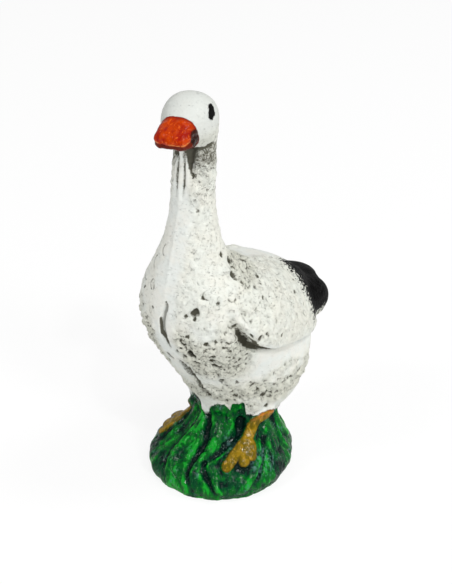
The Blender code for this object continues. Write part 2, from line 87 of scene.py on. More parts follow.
# Neck: it starts this far above the belly and reaches the head's middle. Its sections are given as a
# share of the neck's length, front, back and half width
NECK_STARTS = 56.0
NECK_SECTIONS = [
    (0, -22.6, 0.5, 12.4),
    (0.12, -20.8, -3.1, 9.8),
    (0.26, -18.9, -4, 7.7),
    (0.44, -17.5, -4.8, 6.5),
    (0.67, -16.5, -4.5, 6.1),
    (0.905, -15.9, -3.7, 6),
    (1, -15.2, -4.4, 5.4),
]

# Head: turned a little to the goose's left. Sections run forward from its middle, as distance, half
# width, top and bottom
HEAD_ABOVE_BELLY = 99.1
HEAD_FORWARD = 11.8
HEAD_TURN = 20.0
HEAD_SECTIONS = [
    (-9, 0.6, 0.6, -1.4),
    (-8.2, 3.4, 3, -4.2),
    (-6.2, 5.8, 5.6, -6.2),
    (-3.2, 7.2, 7.4, -7.2),
    (0.4, 7.6, 8.1, -7.4),
    (3.8, 7.1, 7.4, -6.8),
    (6.6, 5.9, 5.9, -5.6),
    (8.8, 4.2, 4, -3.8),
    (10, 2, 1.7, -1.8),
]
BEAK_SECTIONS = [
    (4.6, 4.2, 5, -2.4),
    (6.8, 4.9, 4.9, -2.9),
    (8.8, 5.6, 4.3, -3.4),
    (10.8, 5.9, 3.2, -3.4),
    (12.8, 5.8, 2.2, -3),
    (14.4, 5.3, 1.4, -2.5),
    (15.2, 4.3, 0.8, -1.8),
]
BEAK_NARROW = 0.36  # how much narrower the beak is along its top

# Black tail: lobes as root and tip (each side, back, above the belly), half width, half thickness
TAIL_REACH = 43.6
TAIL_LOBES = [
    ((0, 22, 37), (0.5, TAIL_REACH, 31), 7.3, 4.2),
    ((8.5, 18, 33.6), (8, TAIL_REACH - 5.4, 28.2), 5.6, 6.2),
    ((-8.5, 18, 33.6), (-8, TAIL_REACH - 5.4, 28.2), 5.6, 6.2),
    ((0, 24, 30), (0, TAIL_REACH - 2.1, 26), 9, 5.5),
]

# Thighs: middle (each side, back, above the belly) and half sizes
THIGH_PLACE = (9.2, 4.5, 3.5)
THIGH_SIZE = (4.8, 6.5, 7)

# Folded wing: outline on the goose's side, as how far back and how high above the belly
WING_OUTLINE = [
    (-6, 57),
    (-11.6, 53.2),
    (-14, 49.8),
    (-14.3, 46.4),
    (-12.7, 42.8),
    (-10.8, 39.4),
    (-8.6, 36.2),
    (-5.4, 34.2),
    (-1.5, 32.3),
    (8.2, 29.8),
    (17.7, 26.6),
    (28, 24),
    (36, 28),
    (38, 36),
    (26, 48),
    (8, 58),
]
WING_RAISE = 3.2
RIGHT_WING = 0.6  # how much flatter the right wing is cast
WING_FADES_BACK = (-4, 30)  # its rise falls off between these distances back
WING_FADES_UP = (38, 50)  # and between these heights above the belly
WING_FROM_RIDGE = (2, 8)  # it starts between these distances from the back's ridge
WING_GAP = 2.8  # depth of the gap under the wing's front corner
WING_GAP_MIDDLE = (-9.5, 35.5)  # how far back and how high above the belly
WING_GAP_REACH = (3, 8)

# Strokes raised on the mound or cut into it: points as degrees from the front and height, then half
# width at the two ends and the rise
BLADES = [
    ([(15, 22), (22, 18), (22, 13), (16, 9), (12, 5)], 6, 3.2, 1.4),
    ([(-11, 20), (-4, 16.6), (2, 13.3), (4, 9.5), (9, 6), (17, 2.5)], 1.5, 1.3, -1.3),
    ([(44, 20.5), (41, 18), (32, 15.2), (24, 12), (17, 9.8)], 1.7, 1.1, -1.3),
    ([(47, 20), (48, 15.5)], 2.4, 2, -1.4),
    ([(17, 9.8), (21, 8), (28, 6), (38, 3)], 1.4, 1.1, -1.1),
    ([(30, 8.5), (34, 5.5), (40, 3)], 2.2, 1.2, 1),
    ([(70, 10), (63, 6.5), (56, 3)], 2.4, 1.4, 0.9),
    ([(82, 15), (74, 9), (68, 4)], 1.2, 0.9, -0.7),
    ([(-26, 22), (-21, 16), (-23, 11), (-14, 6)], 3.6, 2.4, 1),
    ([(-34, 19), (-30, 13), (-22, 8), (-12, 4)], 1.3, 1, -0.8),
    ([(-56, 18), (-52, 13), (-42, 8)], 2.6, 1.6, 0.7),
    ([(-80, 19), (-82, 12), (-74, 6)], 1.5, 1.2, -0.7),
    ([(92, 19), (90, 12), (96, 6)], 2.8, 1.8, 0.7),
    ([(112, 18), (110, 11), (116, 6)], 1.5, 1.2, -0.7),
    ([(132, 20), (128, 13), (136, 6)], 3, 2, 0.8),
    ([(158, 20), (162, 12), (154, 6)], 2.8, 2, 0.8),
    ([(176, 19), (172, 11), (180, 6)], 1.5, 1.2, -0.7),
    ([(-162, 20), (-168, 12), (-158, 6)], 2.8, 2, 0.8),
    ([(-140, 19), (-136, 12), (-144, 6)], 1.5, 1.2, -0.7),
    ([(-118, 20), (-122, 12), (-112, 6)], 3, 2, 0.8),
]

# Legs and feet: each leg's path down to the ankle and its toes' paths, as side, back and height
LEFT_LEG = [(14.3, 5.2, 22.3), (14, 1, 21), (13.9, -1.5, 19.1), (14.6, -4.5, 16.8)]
LEFT_TOES = [
    [(14.6, -4.5, 16.8), (14.2, -8, 14.6), (13.4, -12.6, 11)],
    [(14.6, -4.5, 16.8), (16.1, -6.9, 14.3), (17, -8.5, 12)],
    [(14.6, -4.5, 16.8), (16.4, -4.6, 15.2), (17.5, -5.9, 13.3)],
]
RIGHT_LEG = [(-8.8, 1.2, 18.6), (-10.8, -0.9, 16), (-12.7, -3.6, 13.5)]
RIGHT_TOES = [
    [(-12.7, -3.6, 13.5), (-14.6, -6.6, 11.5), (-15.6, -9.2, 9.6)],
    [(-12.7, -3.6, 13.5), (-15.2, -4.6, 11.6), (-17.2, -5.4, 9.8)],
    [(-12.7, -3.6, 13.5), (-15, -2, 12.4), (-17.2, -1.4, 10.6)],
]
LEG_HALF_WIDTH = 2.8
TOE_HALF_WIDTH = 2.8
FOOT_RAISE = 1.4
BLADE_LIMITS = (-1.5, 1.15)  # how deep and how high crossing blades may reach

# Feather tufts: irregular scales, coarse round the belly and the breast, faint on the wings. Their belts
# fade in and out between the given heights above the belly
TUFT_SIZE = 3.6
TUFT_RAISE = 0.9
TUFT_ON_WING = 0.3
BELLY_TUFTS = (8.5, 11.5, 17, 22)
BREAST_TUFTS = (16, 23, 36, 47)

# Strokes on the body, points as side, back and height above the belly: the crease down the breast and
# the keel below it, then each stroke's half width at the two ends and its rise
CREASE = [(1.3, -24.6, 48.8), (0, -25, 42), (0.9, -23.4, 34)]
KEEL = [(1.8, -19.8, 28.5), (2.9, -17, 24), (3.2, -12.5, 17.5), (3.6, -8.5, 10)]
BODY_STROKES = [(CREASE, 0.9, 1.6, -1.15), (KEEL, 1.2, 1.4, -0.9)]
WING_STROKES = [
    ([(17.8, -12.4, 47.4), (18.9, -11.2, 46.6), (20.2, -9.8, 44.4), (21, -9.4, 42.4)], 0.9, 1, -0.5),
    ([(9, -9, 53.5), (13, -7, 50)], 1.2, 1, -0.6),
]

# Strokes on each side of the neck: points as side, back and share of the neck's length
NECK_STROKES = [
    ([(0.9, -15.5, 0.82), (1.2, -16, 0.68), (1.2, -16.6, 0.52)], 0.9, 0.7, -0.7),
    ([(2, -13.8, 0.87), (2.3, -14.3, 0.79), (2.8, -15, 0.68)], 2.9, 0.6, -1.7),
    ([(3.6, -14.5, 0.85), (5.6, -11.5, 0.86), (6.2, -8, 0.87)], 1.3, 1.2, -0.7),
]

# The mould's parting line down the neck and the breast
SEAM_ON_NECK = [(0, -17, 0.67), (0, -18.5, 0.33), (0, -20.5, 0.1)]
SEAM_ON_BREAST = [(0.3, -24.5, 50)]
SEAM_HALF_WIDTH = 0.85
SEAM_RAISE = 0.22

# The slit between the two halves of the beak: how high it starts, how far forward, and how much it drops
BEAK_SLIT_HEIGHT = -0.4
BEAK_SLIT_BEGINS = 9.0
BEAK_SLIT_DROP = 0.03
BEAK_SLIT_DEPTH = 0.45

GRID = 0.6 * MM  # spacing of the fused skin
FLAT_SLACK = 0.25 * MM  # points this near each other on the cut rim are merged
PATH_SMOOTHING = 12  # passes that round off a path laid on the skin
STROKE_SEARCH = 12.0  # how far past a stroke's ends its points are looked for


def through(rows, count):
    """A smooth curve of count rows through the given rows (Catmull-Rom)."""
    rows = np.array(rows, float)
    padded = np.vstack([2 * rows[0] - rows[1], rows, 2 * rows[-1] - rows[-2]])
    place = np.linspace(0, len(rows) - 1, count)
    index = np.minimum(place.astype(int), len(rows) - 2)
    t = (place - index)[:, None]
    a, b, c, d = (padded[index + k] for k in range(4))
    bend = (2 * a - 5 * b + 4 * c - d) * t**2 + (3 * b - a - 3 * c + d) * t**3
    return 0.5 * (2 * b + (c - a) * t + bend)


def smooth_step(value, low, high):
    t = np.clip((value - low) / (high - low), 0, 1)
    return t * t * (3 - 2 * t)


def skin(bm, rings):
    """Adds a closed tube through the rings, capped at both ends, to bm."""
    made = [[bm.verts.new(Vector(p) * MM) for p in ring] for ring in rings]
    count = len(made[0])
    for low, high in zip(made, made[1:]):
        for k in range(count):
            after = (k + 1) % count
            bm.faces.new((low[k], low[after], high[after], high[k]))
    bm.faces.new(made[0][::-1])
    bm.faces.new(made[-1])


def around(count=64):
    return np.linspace(0, 2 * math.pi, count, endpoint=False)


def add_mound(bm):
    turn = around()
    rings = []
    for height, share, back, left in through(MOUND_RINGS, 30):
        x = left + share * MOUND_RADIUS * np.sin(turn)
        y = back - share * MOUND_RADIUS * np.cos(turn)
        rings.append(np.column_stack([x, y, np.full_like(x, height)]))
    below = rings[0] - np.array([0, 0, BELOW_GROUND])
    skin(bm, [below] + rings)


def neck_height(share):
    """Height above the belly of a point at a share of the neck's length."""
    return NECK_STARTS + share * (HEAD_ABOVE_BELLY - NECK_STARTS)


def add_body(bm):
    turn = around()
    sections = [
        (height, -front * BREAST_REACH, back * BACK_REACH, side * BODY_HALF_WIDTH, fuller)
        for height, front, back, side, fuller in BODY_SECTIONS
    ]
    for share, front, back, half_width in NECK_SECTIONS:
        sections.append((neck_height(share), front, back, half_width, 0.0))
    rings = []
    for height, front, back, half_width, fuller in through(sections, 110):
        x = half_width * np.sin(turn) * (1 + fuller * np.cos(turn))
        y = (front + back) / 2 - (back - front) / 2 * np.cos(turn)
        rings.append(np.column_stack([x, y, np.full_like(x, BELLY_HEIGHT + height)]))
    skin(bm, rings)


def head_frame():
    """Origin, forward and sideways directions of the head."""
    turn = math.radians(HEAD_TURN)
    forward = np.array([math.sin(turn), -math.cos(turn), 0.0])
    side = np.array([math.cos(turn), math.sin(turn), 0.0])
    return np.array([0.0, -HEAD_FORWARD, BELLY_HEIGHT + HEAD_ABOVE_BELLY]), forward, side


def add_lengthwise(bm, sections, count, flat=1.0, narrow=0.0):
    """A form along the head's forward direction.

    flat under 1 squares its sections, and narrow draws in their tops.
    """
    origin, forward, side = head_frame()
    turn = around(48)
    rings = []
    for distance, half_width, top, bottom in through(sections, count):
        sideways = half_width * np.sign(np.sin(turn)) * np.abs(np.sin(turn)) ** flat
        rise = np.sign(np.cos(turn)) * np.abs(np.cos(turn)) ** flat
        height = (top + bottom) / 2 + (top - bottom) / 2 * rise
        sideways *= 1 - narrow * (1 + rise) / 2
        ring = origin + distance * forward + np.outer(sideways, side)
        ring[:, 2] += height
        rings.append(ring[::-1])
    skin(bm, rings)


def add_lobe(bm, root, tip, half_width, half_thickness):
    """A long rounded lobe from root to tip, flattened across."""
    root, tip = (np.array(p) + np.array([0, 0, BELLY_HEIGHT]) for p in (root, tip))
    along = (tip - root) / np.linalg.norm(tip - root)
    lean = math.atan2(root[0], half_width + half_thickness)
    upright = np.array([math.sin(lean), 0, math.cos(lean)])
    across = np.cross(along, upright)
    across /= np.linalg.norm(across)
    up = np.cross(across, along)
    turn = around(32)
    middle, half = (root + tip) / 2, np.linalg.norm(tip - root) / 2
    rings = []
    for t in np.linspace(-0.985, 0.985, 25):
        size = math.sqrt(1 - abs(t) ** 2.6)
        ring = np.outer(np.sin(turn), across) * half_width + np.outer(np.cos(turn), up) * half_thickness
        rings.append(middle + t * half * along + size * ring)
    skin(bm, rings)


def add_ball(bm, middle, size):
    turn = around(32)
    rings = []
    for angle in np.linspace(-1.5, 1.5, 17):
        x = np.sin(turn) * size[0] * math.cos(angle)
        y = np.cos(turn) * size[1] * math.cos(angle)
        ring = np.column_stack([x, y, np.full_like(x, size[2] * math.sin(angle))])
        rings.append(ring + np.array(middle))
    skin(bm, rings)


def add_forms(bm):
    add_mound(bm)
    add_body(bm)
    add_lengthwise(bm, HEAD_SECTIONS, 40, flat=0.88)
    add_lengthwise(bm, BEAK_SECTIONS, 30, flat=0.55, narrow=BEAK_NARROW)
    for root, tip, half_width, half_thickness in TAIL_LOBES:
        add_lobe(bm, root, tip, half_width, half_thickness)
    for side in (-1, 1):
        out, back, height = THIGH_PLACE
        add_ball(bm, (side * out, back, BELLY_HEIGHT + height), THIGH_SIZE)


def evaluated(obj):
    """A copy of obj's mesh with its modifiers applied."""
    bpy.context.view_layer.update()
    return bpy.data.meshes.new_from_object(obj.evaluated_get(bpy.context.evaluated_depsgraph_get()))


def change(obj, kind, **settings):
    """Replaces obj's mesh with the result of one modifier."""
    modifier = obj.modifiers.new(kind, kind)
    for name, value in settings.items():
        setattr(modifier, name, value)
    mesh = evaluated(obj)
    obj.modifiers.clear()
    obj.data = mesh


def segment_gap(points, a, b):
    """How far points are from the line between a and b, and how far along it, 0 to 1."""
    step = b - a
    t = np.clip((points - a) @ step / max(step @ step, 1e-9), 0, 1)
    return np.linalg.norm(points - a - t[:, None] * step, axis=1), t


class Skin:
    """The points of a mesh, in millimetres, with their normals and neighbours."""

    def __init__(self, mesh):
        self.mesh = mesh
        self.points = np.empty(len(mesh.vertices) * 3, np.float32)
        mesh.vertices.foreach_get("co", self.points)
        self.points = self.points.reshape(-1, 3).astype(float) / MM
        self.ends = np.empty(len(mesh.edges) * 2, np.int32)
        mesh.edges.foreach_get("vertices", self.ends)
        self.ends = self.ends.reshape(-1, 2)
        self.normals = np.empty_like(self.points)
        self.store()

    def store(self):
        self.mesh.vertices.foreach_set("co", (self.points * MM).astype(np.float32).ravel())
        self.mesh.update()
        flat = np.empty(len(self.points) * 3, np.float32)
        self.mesh.vertex_normals.foreach_get("vector", flat)
        self.normals = flat.reshape(-1, 3).astype(float)

    def relax(self, weight, times):
        """Moves each point toward its neighbours' mean, by its weight, times over."""
        first, second = self.ends.T
        count = len(self.points)
        weight = np.broadcast_to(weight, count)[:, None]
        degree = np.bincount(first, minlength=count) + np.bincount(second, minlength=count)
        for _ in range(times):
            mean = np.empty_like(self.points)
            for axis in range(3):
                values = self.points[:, axis]
                total = np.bincount(first, values[second], count)
                total += np.bincount(second, values[first], count)
                mean[:, axis] = total / degree
            self.points += weight * (mean - self.points)
        self.store()

    def push(self, amount):
        """Moves each point along its normal."""
        self.points += self.normals * amount[:, None]
        self.store()

    def nearest(self, place):
        """The index of the point that is nearest to a place."""
        return np.argmin(((self.points - place) ** 2).sum(1))

    def along(self, path):
        """How far each point is from a path laid on the skin, and how far along it, 0 to 1."""
        line = np.array([self.points[self.nearest(p)] for p in through(path, 40)])
        for _ in range(PATH_SMOOTHING):
            line[1:-1] = (line[:-2] + 2 * line[1:-1] + line[2:]) / 4
        reach = np.ptp(line, axis=0).sum() + STROKE_SEARCH
        close = np.nonzero(((self.points - line.mean(0)) ** 2).sum(1) < reach**2)[0]
        least = np.full(len(self.points), np.inf)
        place = np.zeros(len(self.points))
        for k, (a, b) in enumerate(zip(line, line[1:])):
            gap, t = segment_gap(self.points[close], a, b)
            better = gap < least[close]
            least[close[better]] = gap[better]
            place[close[better]] = (k + t[better]) / (len(line) - 1)
        return least, place

    def stroke(self, path, start, end, rise):
        """The amount that raises a rounded stroke, start and end half widths, along a path."""
        gap, place = self.along(path)
        half_width = start + (end - start) * place
        across = 1 - smooth_step(gap, 0.3 * half_width, half_width)
        return rise * across * (1 - 0.6 * smooth_step(place, 0.7, 1.0))


def on_mound(angle, height):
    """The mound's point at an angle from the front, toward the goose's left, and a height."""
    rows = through(MOUND_RINGS, 60)
    radius, back, left = (np.interp(height, rows[:, 0], rows[:, k]) for k in (1, 2, 3))
    radius *= MOUND_RADIUS
    turn = math.radians(angle)
    return (left + radius * math.sin(turn), back - radius * math.cos(turn), height)


def foot_paths():
    """The paths of both legs and all toes, each with its half width."""
    paths = [(LEFT_LEG, LEG_HALF_WIDTH), (RIGHT_LEG, LEG_HALF_WIDTH)]
    return paths + [(toe, TOE_HALF_WIDTH) for toe in LEFT_TOES + RIGHT_TOES]


def outline_distance(outline, y, z):
    """Signed distance from a closed outline, over 0 inside it."""
    closed = np.array(outline + outline[:1], float)
    line = through(closed, 8 * len(closed))
    gap = np.full(len(y), np.inf)
    inside = np.zeros(len(y), bool)
    for (ay, az), (by, bz) in zip(line, line[1:]):
        length = (by - ay) ** 2 + (bz - az) ** 2 + 1e-9
        t = np.clip(((y - ay) * (by - ay) + (z - az) * (bz - az)) / length, 0, 1)
        gap = np.minimum(gap, np.hypot(y - ay - t * (by - ay), z - az - t * (bz - az)))
        if az != bz:
            inside ^= ((az > z) != (bz > z)) & (y < (by - ay) * (z - az) / (bz - az) + ay)
    return np.where(inside, gap, -gap)


def wing_inside(shape):
    y, z = shape.points[:, 1], shape.points[:, 2]
    return outline_distance(WING_OUTLINE, y, z - BELLY_HEIGHT)


def wing_gap_corner(shape):
    """How near each point is to the gap under the wing's front corner, 0 to 1."""
    back = shape.points[:, 1] - WING_GAP_MIDDLE[0]
    height = shape.points[:, 2] - BELLY_HEIGHT - WING_GAP_MIDDLE[1]
    return 1 - smooth_step(np.hypot(back, height), *WING_GAP_REACH)


def wing_amount(shape):
    """Raises the wings, with a gap under the front half of their lower edge."""
    x, y, z = shape.points.T
    inside = wing_inside(shape)
    out = smooth_step(np.abs(x), *WING_FROM_RIDGE) * np.where(x < 0, RIGHT_WING, 1.0)
    front = 1 - smooth_step(y, *WING_FADES_BACK)
    low = 1 - smooth_step(z - BELLY_HEIGHT, *WING_FADES_UP)
    rise = WING_RAISE * (0.2 + 0.8 * low) * (0.4 + 0.6 * front)
    gap = WING_GAP * smooth_step(inside, -2.5, -1.5) * (1 - smooth_step(inside, -0.4, 0.1))
    body = smooth_step(inside, -0.3, 0.5) * (0.85 + 0.15 * smooth_step(inside, 0.0, 3.0))
    return out * (rise * body - gap * (0.35 * front * low + 0.65 * wing_gap_corner(shape)))


def belt(height, limits):
    """1 inside a belt of heights, falling to 0 past its limits."""
    return smooth_step(height, *limits[:2]) * (1 - smooth_step(height, *limits[2:]))


def tuft_amount(shape):
    """Irregular overlapping scales, each thickest at its lower end."""
    x, y, z = shape.points.T
    height = z - BELLY_HEIGHT
    bend = np.sin(0.55 * x + 0.8 * z) + np.sin(0.7 * y - 0.5 * z + 1.0)
    across = np.arctan2(x, -(y - 6.0)) * 17.0 / TUFT_SIZE + 0.3 * bend
    down = -(height + 0.25 * y) / (0.8 * TUFT_SIZE) + 0.25 * np.sin(0.6 * y + 0.4 * x)
    first, second = np.full(len(x), 9.0), np.full(len(x), 9.0)
    tilt = np.zeros(len(x))
    for column in (-1, 0, 1):
        for row in (-1, 0, 1):
            cell_x, cell_y = np.floor(across) + column, np.floor(down) + row
            shift = np.sin(cell_x * 12.99 + cell_y * 78.23) * 43.76
            off_x = across - cell_x - 0.5 - 0.35 * np.sin(shift) - 0.25 * (cell_y % 2)
            off_y = down - cell_y - 0.5 - 0.3 * np.cos(2.3 * shift)
            reach = np.hypot(off_x, off_y)
            tilt = np.where(reach < first, off_y, tilt)
            second = np.where(reach < first, first, np.minimum(second, reach))
            first = np.minimum(first, reach)
    tuft = smooth_step(second - first, 0.0, 0.7) * (0.7 + 0.6 * np.clip(tilt, -0.6, 0.6))
    low = belt(height, BELLY_TUFTS) * smooth_step(y, -14.0, -4.0)
    front = belt(height, BREAST_TUFTS) * smooth_step(-y, 5.0, 13.0) * smooth_step(np.abs(x), 1.5, 5.0)
    wing = smooth_step(wing_inside(shape), 0.5, 3.0) * smooth_step(np.abs(x), *WING_FROM_RIDGE)
    clear = 1 - smooth_step(y, 31.0, 36.0)
    weight = np.maximum(np.maximum(low, front) * (1 - wing), TUFT_ON_WING * wing)
    return TUFT_RAISE * weight * clear * (tuft - 0.45)


def belly_path(points, side=1):
    """Points given as side, back and height above the belly, mirrored where side is -1."""
    return [(side * x, y, BELLY_HEIGHT + height) for x, y, height in points]


def neck_path(points, side=1):
    """Points given as side, back and share of the neck's length, mirrored where side is -1."""
    return belly_path([(x, y, neck_height(share)) for x, y, share in points], side)


def carve(shape):
    """The strokes of the mound, the feet, the neck and the breast."""
    amount = np.zeros(len(shape.points))
    for path, start, end, rise in BLADES:
        amount += shape.stroke([on_mound(*p) for p in path], start, end, rise)
    feet = np.zeros(len(shape.points))
    for path, half_width in foot_paths():
        gap, _ = shape.along(path)
        feet = np.maximum(feet, 1 - smooth_step(gap, 0.35 * half_width, half_width))
    amount = np.clip(amount * (1 - feet), *BLADE_LIMITS) + FOOT_RAISE * feet
    seam = neck_path(SEAM_ON_NECK) + belly_path(SEAM_ON_BREAST)
    amount += shape.stroke(seam, SEAM_HALF_WIDTH, SEAM_HALF_WIDTH, SEAM_RAISE)
    for points, start, end, rise in BODY_STROKES:
        amount += shape.stroke(belly_path(points), start, end, rise)
    for side in (-1, 1):
        for points, start, end, rise in NECK_STROKES:
            amount += shape.stroke(neck_path(points, side), start, end, rise)
        for points, start, end, rise in WING_STROKES:
            amount += shape.stroke(belly_path(points, side), start, end, rise)
    return amount


def beak_slit_height(ahead):
    """How high the slit of the beak is, that far ahead of the head's middle."""
    return BEAK_SLIT_HEIGHT - BEAK_SLIT_DROP * np.maximum(ahead - BEAK_SLIT_BEGINS, 0) ** 2


def head_places(shape):
    """How far each point is ahead of the head's middle, to its side and above it."""
    origin, forward, side = head_frame()
    away = shape.points - origin
    return away @ forward, away @ side, away[:, 2]


def beak_line(shape):
    """The slit between the two halves of the beak."""
    ahead, _, above = head_places(shape)
    cut = 1 - smooth_step(np.abs(above - beak_slit_height(ahead)), 0.2, 0.9)
    return -BEAK_SLIT_DEPTH * cut * smooth_step(ahead, BEAK_SLIT_BEGINS - 2.0, BEAK_SLIT_BEGINS)


def cut_flat(obj):
    """Cuts everything below the ground and closes the cut with one flat face."""
    bm = bmesh.new()
    bm.from_mesh(obj.data)
    everything = bm.verts[:] + bm.edges[:] + bm.faces[:]
    ground, up = (0, 0, 0), (0, 0, 1)
    cut = bmesh.ops.bisect_plane(bm, geom=everything, plane_co=ground, plane_no=up, clear_inner=True)
    rim = [part for part in cut["geom_cut"] if isinstance(part, bmesh.types.BMVert)]
    bmesh.ops.remove_doubles(bm, verts=rim, dist=FLAT_SLACK)
    rim_edges = [edge for edge in bm.edges if edge.is_boundary]
    made = bmesh.ops.contextual_create(bm, geom=rim_edges)
    for face in made["faces"]:
        for vert in face.verts:
            vert.co.z = 0.0
    bmesh.ops.triangulate(bm, faces=bm.faces[:])
    bmesh.ops.recalc_face_normals(bm, faces=bm.faces)
    bm.to_mesh(obj.data)
    bm.free()


def fused_forms():
    """The closed forms as one object with one skin."""
    bm = bmesh.new()
    add_forms(bm)
    bmesh.ops.recalc_face_normals(bm, faces=bm.faces)
    mesh = bpy.data.meshes.new(NODE)
    bm.to_mesh(mesh)
    bm.free()
    obj = bpy.data.objects.new(NODE, mesh)
    bpy.context.scene.collection.objects.link(obj)
    change(obj, "REMESH", mode="VOXEL", voxel_size=GRID)
    return obj


def relax_forms(shape):
    """Rounds the joints between the forms, and keeps the beak crisper."""
    ahead, _, above = head_places(shape)
    beak = smooth_step(ahead, 6.0, 8.0) * smooth_step(above, -8.0, -4.0)
    shape.relax(0.5 * (1 - 0.75 * beak), 24)


# Camera: where the photograph was taken from, in millimetres, and its lens
CAMERA_PLACE = (226.4, -266.9, 254.0)
CAMERA_TURN = 40.0
CAMERA_DOWN = 29.0
CAMERA_LENS = 84.76
CAMERA_SENSOR = 36.0
CAMERA_NEAR = 0.01

# Lamps, in metres: place, size and watts. All of them point at the middle of the goose
LAMPS = {
    "key": ((-0.3, -0.8, 0.9), 0.28, 3.6),
    "side": ((0.95, -0.2, 0.7), 0.26, 4.4),
    "top": ((0.5, 0.4, 1), 0.35, 3.7),
    "glint": ((0.55, -0.3, 0.8), 0.05, 1.5),
}
LAMP_AIM = (0, 0, 0.06)
SKY_LIGHT = 0.37
SKY_SEEN = 1.0  # the sky is brighter where the camera sees it
FLOOR_HALF_SIZE = 6.0
FLOOR_COLOUR = (0.88, 0.88, 0.88, 1)
FLOOR_GLOW = 1.04
FLOOR_GLOW_SHARE = 0.8

FINE_GRID = 0.47 * MM  # spacing of the skin that carries the fine relief
OUTSIDE = -9.0  # stands for a place far outside a border

# Paint borders
BEAK_FORWARD = 8.4  # the beak's red starts this far in front of the head's middle
EYE = [(0.7, 5.9, 4.6), (1.5, 6.4, 3.6), (2.5, 6.7, 2.9)]  # forward, sideways, height
EYE_HALF_WIDTHS = (1.15, 1.45, 1)
MOUTH_CORNER = (9.9, 5.4, -0.5)  # painted shadow in the corner of the mouth: forward, sideways, height
MOUTH_SHADOW_RADIUS = 2.7
GLAZE_HIGHLIGHT_PLACE = (18.5, -2.3, 9.2)  # painted highlight: a milky patch of reflected light on the mound's glossy paint
GLAZE_HIGHLIGHT_RADIUS = 4.5
TAIL_BACK = (30, 21.5)  # where the black begins on the back's ridge and on its sides
TAIL_LOW = 46.0
GRASS_MIDDLE = (1, 5)  # the grass line's points are degrees round this place, and height
GRASS_LINE = [
    (-180, 21), (-140, 20), (-100, 20.5), (-60, 21), (-42, 23.5), (-27, 26.8), (-21, 27.2),
    (-15.5, 26.4), (-13.5, 22.5), (-11, 20), (-3, 20.2), (3, 23.8), (12, 25.8), (28, 27.2), (36, 25),
    (39, 27.6), (54, 28.2), (57, 25), (59, 22.6), (73, 22.8), (84, 22.8), (95, 21.5), (116, 19),
    (140, 20.5), (180, 21),
]

# Crusty regions, and regions of grey dirt and painted shade: two values fade a region in, and four fade
# it in and out again. These are heights above the belly, distances inside the wing's outline, and
# distances to the back or the side
LOW_CRUST = (7, 12, 16, 26)
LOW_CRUST_BACK = (-18, -9)
FRONT_CRUST_BEGINS = (19, 26)
FRONT_CRUST_ENDS = (37, 48)
FRONT_CRUST_FORWARD = (4, 11)
FRONT_CRUST_SIDE = (2, 5.5)
WING_CRUST = (0, 2)
UNDER_WING = (-0.5, 0.5, 4, 7)
UNDER_WING_BACK = (-8, -2)
REGION_DRIFT = 6.0  # how far noise moves the regions' borders

# The same, as heights above the ground
THROAT = (90, 99, 110, 113.5)
THROAT_SIDE = (2.2, 3.6)
CHEEK = (109, 112, 114, 118)
CHEEK_SIDE = (5, 6)
SHOULDER = (66, 71, 77, 82)
SHOULDER_BEGINS = (-13, -6)
SHOULDER_ENDS = (2, 12)
NECK_CRUST_BEGINS = (58, 66)
NECK_CRUST_ENDS = (98, 104)
NECK_CRUST_SIDE = (2.5, 5.5)
HATCHED = (50, 60, 106, 111)
HATCHED_FORWARD = (2, 10)
HEAD_PAINT = (110, 114)

# Painted shade in deep folds: half width at the two ends and darkness, of the keel and of the strokes
# on each side of the neck
KEEL_SHADE = (1.9, 2.4, 0.64)
NECK_SHADES = [(0.8, 0.6, 0.62), (3.3, 0.5, 1.2), (1.5, 0.9, 0.75)]
CREASE_SHADE = (0.6, 0.9, 1)
# Painted shade under the cheeks, and painted shade and shadow in the gap under each wing
BELOW_CHEEK = (100, 107, 111, 112.5)
BELOW_CHEEK_SIDE = (2.4, 3.6)
BELOW_CHEEK_FORWARD = (4, 8)
WING_SHADE_SIDE = (6, 12)
WING_GAP_SHADE = (-2.3, -1.5, -0.3, 0.1)

# Casting pits seen in the photograph: side, back, height, radius, depth
SEEN_PITS = [
    (9.6, -21.8, 65.5, 1.6, 1.3), (-1.5, -20.4, 47.3, 1.9, 1.3), (-5.9, -22.4, 53.4, 1.3, 1),
    (7.3, -21, 51.3, 1.5, 1.1), (3.4, -22.3, 51.3, 1.2, 0.8), (12.1, -20.1, 56, 1.2, 0.7),
    (9.6, -6.3, 76.3, 1.3, 0.9), (7.6, -2.6, 75.4, 1.3, 0.8), (5, 1.5, 73, 1, 0.8),
    (10.9, -12.1, 39.5, 1.1, 0.8), (16.2, 1, 30.8, 1.8, 0.9), (20.8, -11, 57.8, 0.9, 0.6),
    (22.4, -9, 57.2, 1, 0.6), (23.8, -0.3, 54.3, 1.2, 0.7), (18.3, -2.8, 66.1, 0.9, 0.5),
    (14, 1.5, 70.5, 0.9, 0.6), (8, -19.5, 48, 1.3, 0.9), (6.8, -2.1, 75.2, 1.3, 0.9),
    (10.4, -7.3, 75.7, 1.2, 0.8), (9.4, -10, 79.2, 1, 0.7), (8.2, 1, 73, 1.2, 0.8),
]
SMALL_PITS = 150

# Crescent feather marks: those seen, as side, back, height and radius, and scattered ones, as lowest,
# highest, foremost, rearmost, least distance to the side, how many, seed and depth
SEEN_CRESCENTS = [
    (-6, -20.2, 76, 1.9), (-2.8, -19.8, 80.6, 1.7), (-5, -22.9, 70.1, 1.6), (11.6, -18.5, 70.8, 1.3),
]
SEEN_CRESCENT_SPIN = 1.4
SEEN_CRESCENT_DEPTH = 0.9
SCATTERED_CRESCENTS = [
    (62, 98, -BACK_REACH, 0, 3.5, 6, 3, 1),
    (52, 72, -BACK_REACH, -12, 6, 10, 6, 1),
    (48, 76, -14, 2 * BACK_REACH, 4, 34, 5, 0.7),
]

